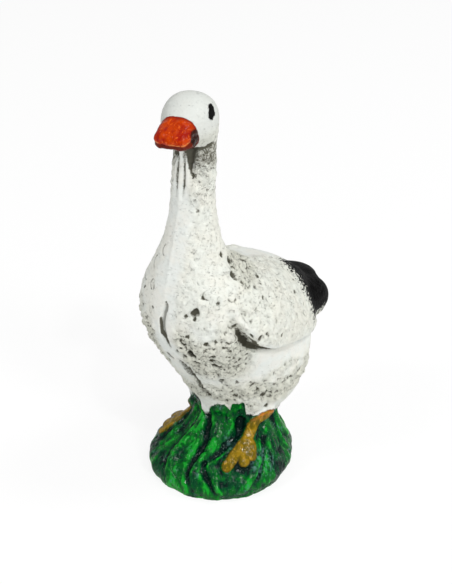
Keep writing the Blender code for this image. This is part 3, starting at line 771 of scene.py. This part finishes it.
# Relief finer than the solid's, in millimetres, and how high the beak's and the feet's paint stands
TUFT_SHARE = 0.85  # the tufts are lower than the solid's, since the crust adds to them
LUMP_RAISE = 0.85
SWELL_RAISE = 0.45
GRAIN_RAISE = 0.14
SMOOTH_GRAIN_RAISE = 0.03
FOLD_DEPTH = 0.3
CRESCENT_DEPTH = 0.34
BRUSH_RAISE = 0.35
FINE_BRUSH_RAISE = 0.12
BRUSH_CREASE_DEPTH = 0.2
BEAK_PAINT_RAISE = 0.3
BEAK_LUMPS = 0.35
FOOT_PAINT_RAISE = 0.12
FOOT_LUMPS = 0.2


def rough(points, size, octaves):
    """Fractal noise at the points, about -1 to 1, with features of that size in millimetres."""
    return np.array([noise.fractal(Vector(p / size), 1.0, 2.0, octaves) for p in points])


def region_weights(shape):
    """Where the casting is crusty, and where it takes grey dirt and painted shade, 0 to 1."""
    x, y, z = shape.points.T
    aside = np.abs(x)
    height = z - BELLY_HEIGHT
    inside = wing_inside(shape)
    drift = REGION_DRIFT * rough(shape.points + 70.0, 9.0, 2)
    wing = smooth_step(inside, *WING_CRUST) * smooth_step(aside, *WING_FROM_RIDGE)
    under = belt(-inside, UNDER_WING) * smooth_step(y, *UNDER_WING_BACK)
    low = belt(height + drift, LOW_CRUST) * smooth_step(y, *LOW_CRUST_BACK)
    front = smooth_step(-y, *FRONT_CRUST_FORWARD) * smooth_step(height, *FRONT_CRUST_BEGINS)
    front *= 1 - smooth_step(height + drift, *FRONT_CRUST_ENDS)
    front *= smooth_step(aside, *FRONT_CRUST_SIDE)
    throat = belt(z, THROAT) * smooth_step(aside, *THROAT_SIDE)
    cheek = belt(z, CHEEK) * smooth_step(aside, *CHEEK_SIDE)
    shoulder = belt(z, SHOULDER) * smooth_step(y, *SHOULDER_BEGINS)
    shoulder *= 1 - smooth_step(y + drift, *SHOULDER_ENDS)
    neck = smooth_step(z + drift, *NECK_CRUST_BEGINS) * (1 - smooth_step(z, *NECK_CRUST_ENDS))
    neck *= smooth_step(aside, *NECK_CRUST_SIDE)
    neck *= smooth_step(x, -2.0, 2.0) + 0.5 * smooth_step(-x, -2.0, 2.0)
    body = np.maximum(low, front) * (1 - wing) * (1 - 0.8 * under)
    crust = np.maximum.reduce([body, 0.6 * wing, 0.5 * throat, shoulder, 0.6 * cheek, 0.45 * neck])
    dirt_and_shade = np.maximum(front * (1 - wing), 0.55 * low * (1 - wing) * (1 - 0.8 * under))
    dirt_and_shade = np.maximum.reduce([dirt_and_shade, 0.12 * wing, 1.6 * throat, 0.7 * shoulder, 0.9 * cheek, 0.3 * neck])
    return crust, dirt_and_shade


def shaded_folds(shape):
    """Painted shade and shadow in deep folds: throat, cheeks, keel and the gap under each wing."""
    x, y, z = shape.points.T
    aside = np.abs(x)
    amount = shape.stroke(belly_path(KEEL), *KEEL_SHADE)
    for side in (-1, 1):
        for stroke, shade in zip(NECK_STROKES, NECK_SHADES):
            amount = np.maximum(amount, shape.stroke(neck_path(stroke[0], side), *shade))
    below_cheek = belt(z, BELOW_CHEEK) * smooth_step(aside, *BELOW_CHEEK_SIDE)
    below_cheek = 0.56 * below_cheek * smooth_step(-y, *BELOW_CHEEK_FORWARD)
    inside = wing_inside(shape)
    out = smooth_step(aside, *WING_SHADE_SIDE)
    gap = belt(inside, WING_GAP_SHADE) * wing_gap_corner(shape)
    edge = belt(inside, (-1.5 + 0.05 * np.clip(y, 0, 12), -0.9, -0.2, 0.1))
    edge *= smooth_step(-y, -18.0, 0.0) * (1 - smooth_step(z, 58.0, 62.0))
    return np.maximum.reduce([amount, below_cheek, out * gap, 0.8 * out * edge])


def pits(shape, where):
    """Round air pits: those seen in the photograph, and small ones scattered over part of the skin."""
    chance = np.random.default_rng(7)
    amount = np.zeros(len(shape.points))
    places = [(np.array(p[:3]), p[3], p[4]) for p in SEEN_PITS]
    uneven = 0.7 * rough(shape.points + 30.0, 1.6, 3)
    for index in chance.choice(np.nonzero(where)[0], SMALL_PITS, replace=False):
        size = 0.45 + 0.5 * chance.random() ** 2
        places.append((shape.points[index], size, 0.55 * size))
    for place, size, depth in places:
        centre = shape.points[shape.nearest(place)]
        gap = np.linalg.norm((shape.points - centre) * np.array([1.0, 1.0, 0.8]), axis=1) + uneven
        amount = np.minimum(amount, -depth * (1 - smooth_step(gap, 0.35 * size, size)))
    return amount


def crescent(shape, index, size, spin):
    """A C-shaped feather mark pressed into the skin round one of its points."""
    amount = np.zeros(len(shape.points))
    centre, normal = shape.points[index], shape.normals[index]
    down = np.array([0, 0, -1.0]) + normal[2] * normal
    down /= np.linalg.norm(down) + 1e-6
    across = np.cross(normal, down)
    close = np.nonzero(((shape.points - centre) ** 2).sum(1) < (1.7 * size) ** 2)[0]
    offset = shape.points[close] - centre
    angle = np.arctan2(offset @ across, offset @ down) + spin
    ring = np.abs(np.hypot(offset @ across, offset @ down) - size)
    amount[close] = -(1 - smooth_step(ring, 0.1, 0.5)) * (1 - smooth_step(np.abs(angle), 1.0, 2.0))
    return amount


def scattered_crescents(shape, where, count, seed):
    """Feather marks of many sizes and turns, at random places of part of the skin."""
    chance = np.random.default_rng(seed)
    amount = np.zeros(len(shape.points))
    for index in chance.choice(np.nonzero(where)[0], count, replace=False):
        size = 1.1 + 0.8 * chance.random()
        spin = chance.uniform(-0.9, 0.9)
        made = crescent(shape, index, size, spin)
        amount = np.minimum(amount, chance.uniform(0.5, 1.0) * made)
    return amount


def crescents(shape, white):
    """All feather marks, on the white parts of the skin."""
    x, y, z = shape.points.T
    amount = np.zeros(len(shape.points))
    for *place, size in SEEN_CRESCENTS:
        made = crescent(shape, shape.nearest(place), size, SEEN_CRESCENT_SPIN)
        amount = np.minimum(amount, SEEN_CRESCENT_DEPTH * made)
    for low, high, front, back, side, count, seed, depth in SCATTERED_CRESCENTS:
        where = white & (z > low) & (z < high) & (y > front) & (y < back) & (np.abs(x) > side)
        amount = np.minimum(amount, depth * scattered_crescents(shape, where, count, seed))
    return amount


def eye_border(shape):
    """How far inside the painted eyes each point is."""
    origin, forward, side = head_frame()
    ahead, _, above = head_places(shape)
    eye = np.full(len(shape.points), OUTSIDE)
    near = np.nonzero((np.abs(above - 4) < 6) & (np.abs(ahead - 1.5) < 6))[0]
    for sign in (-1, 1):
        line = np.array([origin + f * forward + sign * s * side + np.array([0, 0, h]) for f, s, h in EYE])
        for k, (a, b) in enumerate(zip(line, line[1:])):
            gap, t = segment_gap(shape.points[near], a, b)
            half_width = EYE_HALF_WIDTHS[k] + (EYE_HALF_WIDTHS[k + 1] - EYE_HALF_WIDTHS[k]) * t
            eye[near] = np.maximum(eye[near], half_width - gap)
    return eye


def foot_border(shape):
    """How far inside the ochre of the legs and feet each point is."""
    inside = np.full(len(shape.points), OUTSIDE)
    for path, half_width in foot_paths():
        inside = np.maximum(inside, 0.66 * half_width - shape.along(path)[0])
    return inside


def paint_borders(shape):
    """For each paint, how far inside its border each point is, in millimetres."""
    x, y, z = shape.points.T
    ahead, across, above = head_places(shape)
    corner = np.stack([ahead, np.abs(across), above], axis=1) - np.array(MOUTH_CORNER)
    begins = TAIL_BACK[0] + (TAIL_BACK[1] - TAIL_BACK[0]) * smooth_step(np.abs(x), 1.0, 8.5)
    turn = np.degrees(np.arctan2(x - GRASS_MIDDLE[0], -(y - GRASS_MIDDLE[1])))
    return {
        "beak": np.minimum(ahead - BEAK_FORWARD + 0.28 * (2.5 - above), above + 6.5),
        "lip": beak_slit_height(ahead) - above,
        "mouth_shadow": MOUTH_SHADOW_RADIUS - np.linalg.norm(corner, axis=1),
        "eye": eye_border(shape),
        "glaze_highlight": GLAZE_HIGHLIGHT_RADIUS - np.linalg.norm(shape.points - np.array(GLAZE_HIGHLIGHT_PLACE), axis=1),
        "tail": np.minimum(y - begins + 0.18 * (z - 56.0), z - TAIL_LOW + 0.1 * (y - 30)),
        "grass": np.interp(turn, *np.array(GRASS_LINE, float).T) - z,
        "foot": foot_border(shape),
    }


def hollows(shape, times):
    """How far each point lies below the smoothed skin round it."""
    kept = shape.points.copy()
    normals = shape.normals.copy()
    shape.relax(0.5, times)
    depth = ((shape.points - kept) * normals).sum(1)
    shape.points = kept
    shape.store()
    return depth


def keep(shape, name, values):
    """Stores a value for each point, which the material reads by its name."""
    layer = shape.mesh.attributes.new(name, "FLOAT", "POINT")
    layer.data.foreach_set("value", np.asarray(values, np.float32))


def plaster_relief(shape, crust, lumps):
    """Lumps, swells, folds and grain of the white plaster."""
    swells = rough(shape.points + 15.0, 4.2, 2)
    grain = rough(shape.points + 50.0, 1.0, 2)
    folds = 1 - smooth_step(np.abs(rough(shape.points + 90.0, 2.0, 2)), 0.0, 0.22)
    relief = LUMP_RAISE * lumps + SWELL_RAISE * swells + GRAIN_RAISE * grain - FOLD_DEPTH * folds
    return crust * relief + SMOOTH_GRAIN_RAISE * grain


def grass_relief(shape):
    """Upright brush marks in the thick green paint."""
    leaf = shape.points * np.array([1.0, 1.0, 0.3])
    creases = 1 - smooth_step(np.abs(rough(leaf, 4.2, 1)), 0.0, 0.1)
    brushed = BRUSH_RAISE * rough(leaf + 20.0, 3.6, 2) + FINE_BRUSH_RAISE * rough(leaf, 1.0, 2)
    return brushed - BRUSH_CREASE_DEPTH * creases


def press_relief(shape):
    """Gives the skin its finest relief, and keeps where shade is painted: in the folds, the crease and
    the dents.
    """
    crust, _ = region_weights(shape)
    borders = paint_borders(shape)
    painted = np.maximum.reduce([borders["beak"], borders["tail"], borders["grass"]])
    white = smooth_step(-painted, 0.0, 1.5)
    lumps = rough(shape.points, 2.6, 4)
    amount = white * plaster_relief(shape, crust, lumps)
    dents = white * pits(shape, (white > 0.9) & (shape.points[:, 2] < 108) & (crust > 0.1))
    arcs = crescents(shape, white > 0.9)
    amount += dents + CRESCENT_DEPTH * arcs
    green = smooth_step(borders["grass"], 0.0, 1.5) * (1 - smooth_step(borders["foot"], -0.4, 0.2))
    amount += green * grass_relief(shape)
    ochre = smooth_step(borders["foot"], -0.1, 0.3)
    red = smooth_step(borders["beak"], -0.2, 0.3)
    red_coat = BEAK_PAINT_RAISE + BEAK_LUMPS * lumps
    ochre_coat = FOOT_PAINT_RAISE + FOOT_LUMPS * lumps
    amount += red * red_coat + ochre * ochre_coat
    shape.push(amount)
    # Masks of painted shade: in deep folds, along the breast's crease, and in pits and feather marks
    keep(shape, "painted_fold_shade", shaded_folds(shape))
    keep(shape, "painted_crease_shade", shape.stroke(belly_path(CREASE), *CREASE_SHADE))
    keep(shape, "painted_dent_shade", np.maximum(-1.1 * dents, -0.6 * arcs))


def keep_paint_values(shape):
    """Stores what the material needs to know at each point of the finished skin."""
    crust, dirt_and_shade = region_weights(shape)
    for name, values in paint_borders(shape).items():
        keep(shape, name, values)
    # Hollow depths, small and broad; the material paints shade into the hollows from them
    keep(shape, "hollow", hollows(shape, 8))
    keep(shape, "broad_hollow", hollows(shape, 60))
    keep(shape, "dirt_and_shade", dirt_and_shade)
    keep(shape, "crust", crust)
    _, y, z = shape.points.T
    keep(shape, "hatch", belt(z, HATCHED) * smooth_step(-y, *HATCHED_FORWARD))
    keep(shape, "head", smooth_step(z, *HEAD_PAINT))


def make_goose():
    obj = fused_forms()
    shape = Skin(obj.data)
    relax_forms(shape)
    shape.push(wing_amount(shape))
    change(obj, "REMESH", mode="VOXEL", voxel_size=FINE_GRID)
    shape = Skin(obj.data)
    shape.relax(0.4, 4)
    shape.push(carve(shape) + TUFT_SHARE * tuft_amount(shape) + beak_line(shape))
    shape.relax(0.25, 1)
    press_relief(shape)
    cut_flat(obj)
    keep_paint_values(Skin(obj.data))
    obj.data.polygons.foreach_set("use_smooth", np.ones(len(obj.data.polygons), bool))
    return obj


def rgb(*levels):
    """A colour from its sRGB levels, 0 to 255."""
    shares = [level / 255 for level in levels]
    linear = [s / 12.92 if s < 0.04045 else ((s + 0.055) / 1.055) ** 2.4 for s in shares]
    return (*linear, 1.0)


WARM_WHITE = rgb(233, 233, 225)
COOL_WHITE = rgb(230, 234, 229)
BRIGHT_WHITE = rgb(241, 243, 239)
HEAD_SHADE_WHITE = rgb(207, 210, 205)
CRUST_WHITE = rgb(229, 229, 213)
DIRT_AND_SHADE_GREY = rgb(68, 65, 49)
NEAR_BLACK_GREEN = rgb(0, 28, 22)
DARK_GREEN = rgb(0, 68, 34)
GREEN = rgb(0, 98, 27)
BRIGHT_GREEN = rgb(18, 160, 42)
GLAZE_HIGHLIGHT_GREEN = rgb(84, 128, 122)
GLINT_HIGHLIGHT_GREEN = rgb(170, 206, 186)
OLIVE = rgb(98, 84, 8)
OCHRE = rgb(148, 118, 18)
OCHRE_HIGHLIGHT = rgb(208, 160, 56)
ORANGE_OCHRE = rgb(196, 122, 42)
OUTLINE_BROWN = rgb(70, 50, 6)
HOLLOW_SHADE_BROWN = rgb(42, 32, 4)
RED = rgb(158, 22, 2)
ORANGE = rgb(196, 62, 0)
PALE_ORANGE = rgb(228, 98, 30)
EDGE_RED = rgb(132, 16, 2)
LIP_HIGHLIGHT_ORANGE = rgb(214, 130, 66)
LOWER_SHADE_RED = rgb(84, 22, 8)
MOUTH_SHADOW_BROWN = rgb(34, 16, 8)
HOLLOW_SHADE_RED = rgb(58, 14, 6)
BLACK = rgb(5, 5, 5)
WORN_BLACK = rgb(30, 30, 31)
FLECK_GREY = rgb(130, 130, 128)
EYE_BLACK = rgb(12, 11, 11)


def empty_tree(owner):
    """The node tree of a material or a world, with nothing in it."""
    owner.use_nodes = True
    owner.node_tree.nodes.clear()
    return owner.node_tree


def add_node(tree, kind, inputs=None, **settings):
    """Adds a node. Each of its inputs is given a value or linked to another node's output."""
    made = tree.nodes.new(kind)
    for name, value in settings.items():
        setattr(made, name, value)
    for key, value in (inputs or {}).items():
        if isinstance(value, bpy.types.NodeSocket):
            tree.links.new(value, made.inputs[key])
        else:
            made.inputs[key].default_value = value
    return made


class Paint:
    """A material, with short ways to add its nodes. Its noises are sized in cells per millimetre."""

    def __init__(self, name):
        self.material = bpy.data.materials.new(name)
        self.tree = empty_tree(self.material)
        place = self.node("ShaderNodeTexCoord").outputs["Object"]
        scaled = self.node("ShaderNodeVectorMath", {0: place, "Scale": 1 / MM}, operation="SCALE")
        self.place = scaled.outputs[0]
        self.wobble = self.less(self.noise(0.9, 3), 0.5)
        self.fine_wobble = self.less(self.noise(2.6, 2), 0.5)

    def node(self, kind, inputs=None, **settings):
        return add_node(self.tree, kind, inputs, **settings)

    def attribute(self, name):
        return self.node("ShaderNodeAttribute", attribute_name=name).outputs["Fac"]

    def math(self, operation, a, b):
        return self.node("ShaderNodeMath", {0: a, 1: b}, operation=operation).outputs[0]

    def plus(self, a, b):
        return self.math("ADD", a, b)

    def less(self, a, b):
        return self.math("SUBTRACT", a, b)

    def times(self, a, b):
        return self.math("MULTIPLY", a, b)

    def most(self, a, b):
        return self.math("MAXIMUM", a, b)

    def step(self, value, low, high, to_low=0.0, to_high=1.0):
        inputs = {"Value": value, "From Min": low, "From Max": high, "To Min": to_low, "To Max": to_high}
        return self.node("ShaderNodeMapRange", inputs, interpolation_type="SMOOTHSTEP").outputs["Result"]

    def stretched(self, stretch, shift):
        inputs = {0: self.place, 1: stretch, 2: (shift, shift * 1.7, shift * 0.6)}
        return self.node("ShaderNodeVectorMath", inputs, operation="MULTIPLY_ADD").outputs[0]

    def noise(self, scale, detail, rough=0.55, vector=None, warp=0.0):
        inputs = {"Scale": scale, "Detail": detail, "Roughness": rough, "Distortion": warp}
        inputs["Vector"] = vector or self.place
        return self.node("ShaderNodeTexNoise", inputs).outputs["Fac"]

    def patches(self, scale, low, high, shift, detail=3, stretch=(1, 1, 1)):
        return self.step(self.noise(scale, detail, 0.6, self.stretched(stretch, shift)), low, high)

    def lines(self, scale, shift, thin):
        """Thin curved lines that run between the noise's highs and lows."""
        middle = self.less(self.noise(scale, 2, 0.5, self.stretched((1, 1, 1), shift), 0.4), 0.5)
        return self.step(self.math("ABSOLUTE", middle, 0.0), 0.25 * thin, thin, 1.0, 0.0)

    def ragged(self, name, broad, fine):
        """A kept value, made uneven by broad and fine noise."""
        uneven = self.plus(self.times(self.wobble, broad), self.times(self.fine_wobble, fine))
        return self.plus(self.attribute(name), uneven)

    def border(self, name, broad, fine, soft):
        return self.step(self.ragged(name, broad, fine), -soft, soft)

    def blend(self, share, first, second):
        inputs = {0: share, 2: first, 3: second}
        return self.node("ShaderNodeMix", inputs, data_type="FLOAT").outputs[0]

    def layers(self, colour, *coats):
        """A colour under coats, each given as how much it covers and its colour."""
        for share, coat in coats:
            inputs = {0: share, 6: colour, 7: coat}
            colour = self.node("ShaderNodeMix", inputs, data_type="RGBA").outputs[2]
        return colour

    def bump(self, height, distance):
        inputs = {"Strength": 1.0, "Distance": distance * MM, "Height": height}
        return self.node("ShaderNodeBump", inputs).outputs["Normal"]


def plaster_marks(p):
    """Lines, fine lines and specks in the bare plaster, each as how strong it is."""
    crust = p.attribute("crust")
    body = p.less(1, p.times(p.attribute("head"), 0.7))
    lines = p.times(p.times(p.lines(0.55, 3, 0.035), p.patches(0.8, 0.52, 0.6, 22)), body)
    lines = p.times(lines, p.plus(0.35, crust))
    fine_lines = p.times(p.lines(1.2, 8, 0.05), p.patches(0.5, 0.48, 0.6, 41))
    fine_lines = p.times(fine_lines, p.times(body, crust))
    specks = p.step(p.noise(1.7, 3, 0.65, p.stretched((1, 1, 1.6), 9)), 0.64, 0.68)
    return lines, fine_lines, p.times(specks, p.patches(0.22, 0.4, 0.6, 31))


def plaster_dirt_and_shade(p, lines, fine_lines, specks):
    """How grey the plaster is: dirt in patches, marks and specks, and painted shade in hollows, folds,
    crease and dents.
    """
    dirt_and_shade = p.attribute("dirt_and_shade")
    deep = p.plus(p.attribute("hollow"), p.times(p.less(p.noise(1.8, 4), 0.5), 0.12))
    wide = p.plus(p.attribute("broad_hollow"), p.times(p.less(p.noise(0.8, 4), 0.5), 0.5))
    grey = p.times(p.times(p.patches(0.5, 0.4, 0.75, 4, 5), dirt_and_shade), 0.16)
    # Painted shade in the deep and the broad hollows, then dirt in lines, fine lines and specks
    for amount, base_share, dirt_and_shade_share in (
        (p.step(deep, 0.05, 0.3), 0.5, 0.4),
        (p.step(wide, 0.2, 1.1), 0.2, 0.3),
        (lines, 0.2, 0.3),
        (fine_lines, 0.02, 0.25),
        (specks, 0.3, 0.8),
    ):
        grey = p.plus(grey, p.times(amount, p.plus(base_share, p.times(dirt_and_shade, dirt_and_shade_share))))
    # Painted shade and shadow in the deep folds
    shade = p.step(p.ragged("painted_fold_shade", 0.5, 0.7), 0.25, 0.8)
    # Painted shade along the breast's crease
    shade = p.most(shade, p.step(p.ragged("painted_crease_shade", 0, 0.35), 0.2, 0.6))
    grey = p.plus(grey, p.times(shade, 0.95))
    # Painted shade in pits and feather marks
    grey = p.plus(grey, p.times(p.step(p.attribute("painted_dent_shade"), 0.2, 0.65), 0.6))
    return p.math("MINIMUM", grey, 0.93)


def white_paint(p, dirt_and_shade):
    """Warm and cool patches, duller in the crust, greyer on the head as painted shade, under dirt and
    painted shade.
    """
    return p.layers(
        WARM_WHITE,
        (p.patches(0.16, 0.38, 0.62, 0), COOL_WHITE),
        (p.times(p.patches(0.7, 0.35, 0.8, 14, 4), 0.35), BRIGHT_WHITE),
        # Painted shade: the head is made greyer
        (p.times(p.attribute("head"), 0.8), HEAD_SHADE_WHITE),
        (p.times(p.attribute("crust"), 0.7), CRUST_WHITE),
        (dirt_and_shade, DIRT_AND_SHADE_GREY),
    )


def tail_paint(p):
    """Worn black with grey flecks."""
    return p.layers(
        BLACK,
        (p.times(p.patches(1.6, 0.5, 0.75, 6, 4), 0.6), WORN_BLACK),
        (p.times(p.step(p.noise(3, 2), 0.7, 0.76), 0.6), FLECK_GREY),
    )


def grass_paint(p, fine_brush):
    """Brushed greens from near black to bright, with painted shade, a painted highlight and painted
    glints.
    """
    brush = p.noise(0.2, 3, 0.55, p.stretched((1, 1, 0.5), 2), 0.6)
    tone = p.plus(p.times(brush, 0.72), p.times(fine_brush, 0.28))
    # Painted shade and light: darker in the hollows, lighter on the ridges
    tone = p.plus(tone, p.times(p.attribute("hollow"), -0.4))
    tone = p.plus(tone, p.times(p.attribute("broad_hollow"), -0.1))
    # Painted highlight: milky patches of reflected light on the glossy green, strongest at one place on
    # the mound
    glaze_highlight = p.most(p.patches(0.3, 0.56, 0.68, 27), p.step(p.ragged("glaze_highlight", 3, 0), -1, 1))
    glaze_highlight = p.times(glaze_highlight, p.step(fine_brush, 0.46, 0.6))
    # Painted highlights: small pale glints
    painted_glints = p.step(p.noise(3.2, 2), 0.66, 0.72, 0, 0.75)
    return p.layers(
        NEAR_BLACK_GREEN,
        (p.step(tone, 0.4, 0.48), DARK_GREEN),
        (p.step(tone, 0.5, 0.57), GREEN),
        (p.step(tone, 0.59, 0.67, 0, 0.9), BRIGHT_GREEN),
        (p.times(glaze_highlight, 0.55), GLAZE_HIGHLIGHT_GREEN),
        (p.times(painted_glints, p.patches(0.35, 0.45, 0.6, 51)), GLINT_HIGHLIGHT_GREEN),
    )


def foot_paint(p):
    """Olive ochre, painted highlights, orange strokes on the thighs, brown outlines, painted shade in
    hollows.
    """
    height = p.node("ShaderNodeSeparateXYZ", {0: p.place}).outputs[2]
    return p.layers(
        OLIVE,
        (p.patches(0.6, 0.38, 0.62, 5, 4, (1, 1, 0.6)), OCHRE),
        # Painted highlights: pale ochre streaks
        (p.times(p.patches(1.3, 0.56, 0.7, 17, 3, (1, 1, 0.5)), 0.7), OCHRE_HIGHLIGHT),
        (p.times(p.step(height, 20.5, 23), p.patches(0.7, 0.4, 0.55, 33)), ORANGE_OCHRE),
        (p.step(p.attribute("foot"), 0.05, 0.6, 0.65, 0), OUTLINE_BROWN),
        # Painted shade in the hollows of the legs and feet
        (p.step(p.attribute("hollow"), 0.06, 0.25, 0, 0.7), HOLLOW_SHADE_BROWN),
    )


def beak_paint(p):
    """Orange in the middle, dark red along the edges, a painted highlight over the slit and painted shade
    below.
    """
    lip = p.attribute("lip")
    # Painted highlight: a pale line just above the beak's slit
    rim = p.times(p.step(lip, -1, -0.5), p.step(lip, -0.4, -0.1, 1, 0))
    # Painted shadow in the corners of the mouth
    corner = p.step(p.ragged("mouth_shadow", 0, 1), -0.1, 0.8)
    return p.layers(
        RED,
        (p.patches(0.5, 0.36, 0.6, 3, 4, (1, 0.4, 0.8)), ORANGE),
        (p.times(p.patches(1.3, 0.56, 0.68, 8, 3, (1.2, 0.35, 1)), 0.8), PALE_ORANGE),
        (p.step(p.attribute("beak"), 0.2, 1.7, 0.85, 0), EDGE_RED),
        (p.times(rim, p.patches(0.6, 0.5, 0.56, 19)), LIP_HIGHLIGHT_ORANGE),
        # Painted shade: darker on the lower half of the beak, below the slit
        (p.times(p.step(lip, -0.3, 0.2), 0.9), LOWER_SHADE_RED),
        (p.times(corner, 0.95), MOUTH_SHADOW_BROWN),
        # Painted shade in the beak's hollows
        (p.step(p.attribute("hollow"), 0.03, 0.2, 0, 0.9), HOLLOW_SHADE_RED),
    )


def surface_relief(p, marks, fine_brush, paint):
    """Relief finer than the skin: the plaster's grain, hatching and crust, or the paint's brush hairs."""
    lines, fine_lines, specks = marks
    hatched = p.attribute("hatch")
    grain = p.times(p.noise(2, 4, 0.65), p.blend(hatched, 0.15, 0.06))
    hatch = p.noise(1.3, 3, 0.6, p.stretched((0.1, 0.1, 1.3), 6))
    hatch = p.times(p.times(hatch, hatched), 0.22)
    crust = p.times(p.times(p.noise(1.25, 5, 0.7), p.attribute("crust")), 0.6)
    cuts = p.plus(p.times(lines, -0.22), p.times(fine_lines, -0.12))
    plain = p.plus(p.plus(grain, hatch), crust)
    plain = p.plus(plain, p.plus(cuts, p.times(specks, -0.2)))
    hairs = p.noise(2.6, 3, 0.6, p.stretched((1, 1, 0.3), 1))
    hairs = p.plus(p.times(fine_brush, 0.4), p.times(hairs, 0.15))
    return p.blend(paint, plain, hairs)


def painted_casting():
    p = Paint("painted_casting")
    feather = p.less(p.noise(1.5, 3, 0.65, p.stretched((1, 0.3, 1), 7)), 0.5)
    tail = p.step(p.plus(p.ragged("tail", 1.5, 3.5), p.times(feather, 18)), -0.25, 0.25)
    grass = p.border("grass", 1.6, 2, 0.2)
    foot = p.border("foot", 0.9, 0.7, 0.15)
    beak = p.border("beak", 0.5, 0.25, 0.15)
    eye = p.border("eye", 0.9, 0.7, 0.1)
    marks = plaster_marks(p)
    fine_brush = p.noise(1.3, 4, 0.62, p.stretched((1, 1, 0.35), 12), 0.6)
    colour = p.layers(
        white_paint(p, plaster_dirt_and_shade(p, *marks)),
        (tail, tail_paint(p)),
        (grass, grass_paint(p, fine_brush)),
        (foot, foot_paint(p)),
        (beak, beak_paint(p)),
        (eye, EYE_BLACK),
    )
    head = p.attribute("head")
    shiny = p.most(p.most(grass, foot), beak)
    black = p.most(tail, eye)
    roughness = p.less(p.step(p.noise(0.7, 3), 0.3, 0.7, 0.55, 0.72), p.times(head, 0.2))
    roughness = p.blend(shiny, roughness, p.step(p.noise(1.2, 3), 0.3, 0.7, 0.1, 0.25))
    paint = p.most(shiny, black)
    relief = surface_relief(p, marks, fine_brush, paint)
    wet = p.plus(0.1, p.times(p.patches(0.9, 0.5, 0.62, 61), 0.4))
    inputs = {
        "Base Color": colour,
        "Roughness": p.blend(black, roughness, 0.5),
        "Normal": p.bump(p.plus(relief, p.times(paint, 0.12)), 1),
        "Coat Normal": p.bump(relief, 0.11),
        "Coat Weight": p.most(p.times(shiny, wet), p.times(head, 0.04)),
        "Coat Roughness": 0.09,
        "Coat IOR": 1.45,
        "IOR": 1.48,
        "Specular IOR Level": 0.05,
    }
    shader = p.node("ShaderNodeBsdfPrincipled", inputs)
    p.node("ShaderNodeOutputMaterial", {"Surface": shader.outputs["BSDF"]})
    return p.material


def pale_floor():
    """A wide white floor. Seen by the camera it is near white, and keeps a faint shadow."""
    mesh = bpy.data.meshes.new("floor")
    half = FLOOR_HALF_SIZE
    corners = [(-half, -half, 0), (half, -half, 0), (half, half, 0), (-half, half, 0)]
    mesh.from_pydata(corners, [], [(0, 1, 2, 3)])
    floor = bpy.data.objects.new("floor", mesh)
    bpy.context.scene.collection.objects.link(floor)
    material = bpy.data.materials.new("floor_white")
    tree = empty_tree(material)
    seen = add_node(tree, "ShaderNodeLightPath").outputs["Is Camera Ray"]
    share = add_node(tree, "ShaderNodeMath", {0: seen, 1: FLOOR_GLOW_SHARE}, operation="MULTIPLY")
    diffuse = add_node(tree, "ShaderNodeBsdfDiffuse", {"Color": FLOOR_COLOUR})
    glow = add_node(tree, "ShaderNodeEmission", {"Strength": FLOOR_GLOW})
    inputs = {0: share.outputs[0], 1: diffuse.outputs[0], 2: glow.outputs[0]}
    mix = add_node(tree, "ShaderNodeMixShader", inputs)
    add_node(tree, "ShaderNodeOutputMaterial", {"Surface": mix.outputs[0]})
    mesh.materials.append(material)


def lamp(name, place, size, watts):
    light = bpy.data.lights.new(name, "AREA")
    light.size = size
    light.energy = watts
    obj = bpy.data.objects.new(name, light)
    bpy.context.scene.collection.objects.link(obj)
    obj.location = place
    aim = Vector(LAMP_AIM) - Vector(place)
    obj.rotation_euler = aim.to_track_quat("-Z", "Y").to_euler()


def lights():
    world = bpy.data.worlds.new("soft_white")
    tree = empty_tree(world)
    seen = add_node(tree, "ShaderNodeLightPath").outputs["Is Camera Ray"]
    inputs = {"Value": seen, "To Min": SKY_LIGHT, "To Max": SKY_SEEN}
    strength = add_node(tree, "ShaderNodeMapRange", inputs)
    inputs = {"Color": (1, 1, 1, 1), "Strength": strength.outputs["Result"]}
    background = add_node(tree, "ShaderNodeBackground", inputs)
    add_node(tree, "ShaderNodeOutputWorld", {"Surface": background.outputs[0]})
    bpy.context.scene.world = world
    for name, (place, size, watts) in LAMPS.items():
        lamp(name, place, size, watts)


def camera():
    data = bpy.data.cameras.new("camera")
    data.lens = CAMERA_LENS
    data.sensor_width = CAMERA_SENSOR
    data.clip_start = CAMERA_NEAR
    obj = bpy.data.objects.new("camera", data)
    bpy.context.scene.collection.objects.link(obj)
    turn, down = math.radians(CAMERA_TURN), math.radians(CAMERA_DOWN)
    ahead = Vector((-math.sin(turn) * math.cos(down), math.cos(turn) * math.cos(down), -math.sin(down)))
    obj.location = Vector(CAMERA_PLACE) * MM
    obj.rotation_euler = ahead.to_track_quat("-Z", "Y").to_euler()
    bpy.context.scene.camera = obj


def main():
    goose = make_goose()
    goose.data.materials.append(painted_casting())
    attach(goose, "root")
    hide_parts(NODE)
    pale_floor()
    lights()
    camera()
    bpy.context.scene.view_settings.view_transform = "Standard"


main()
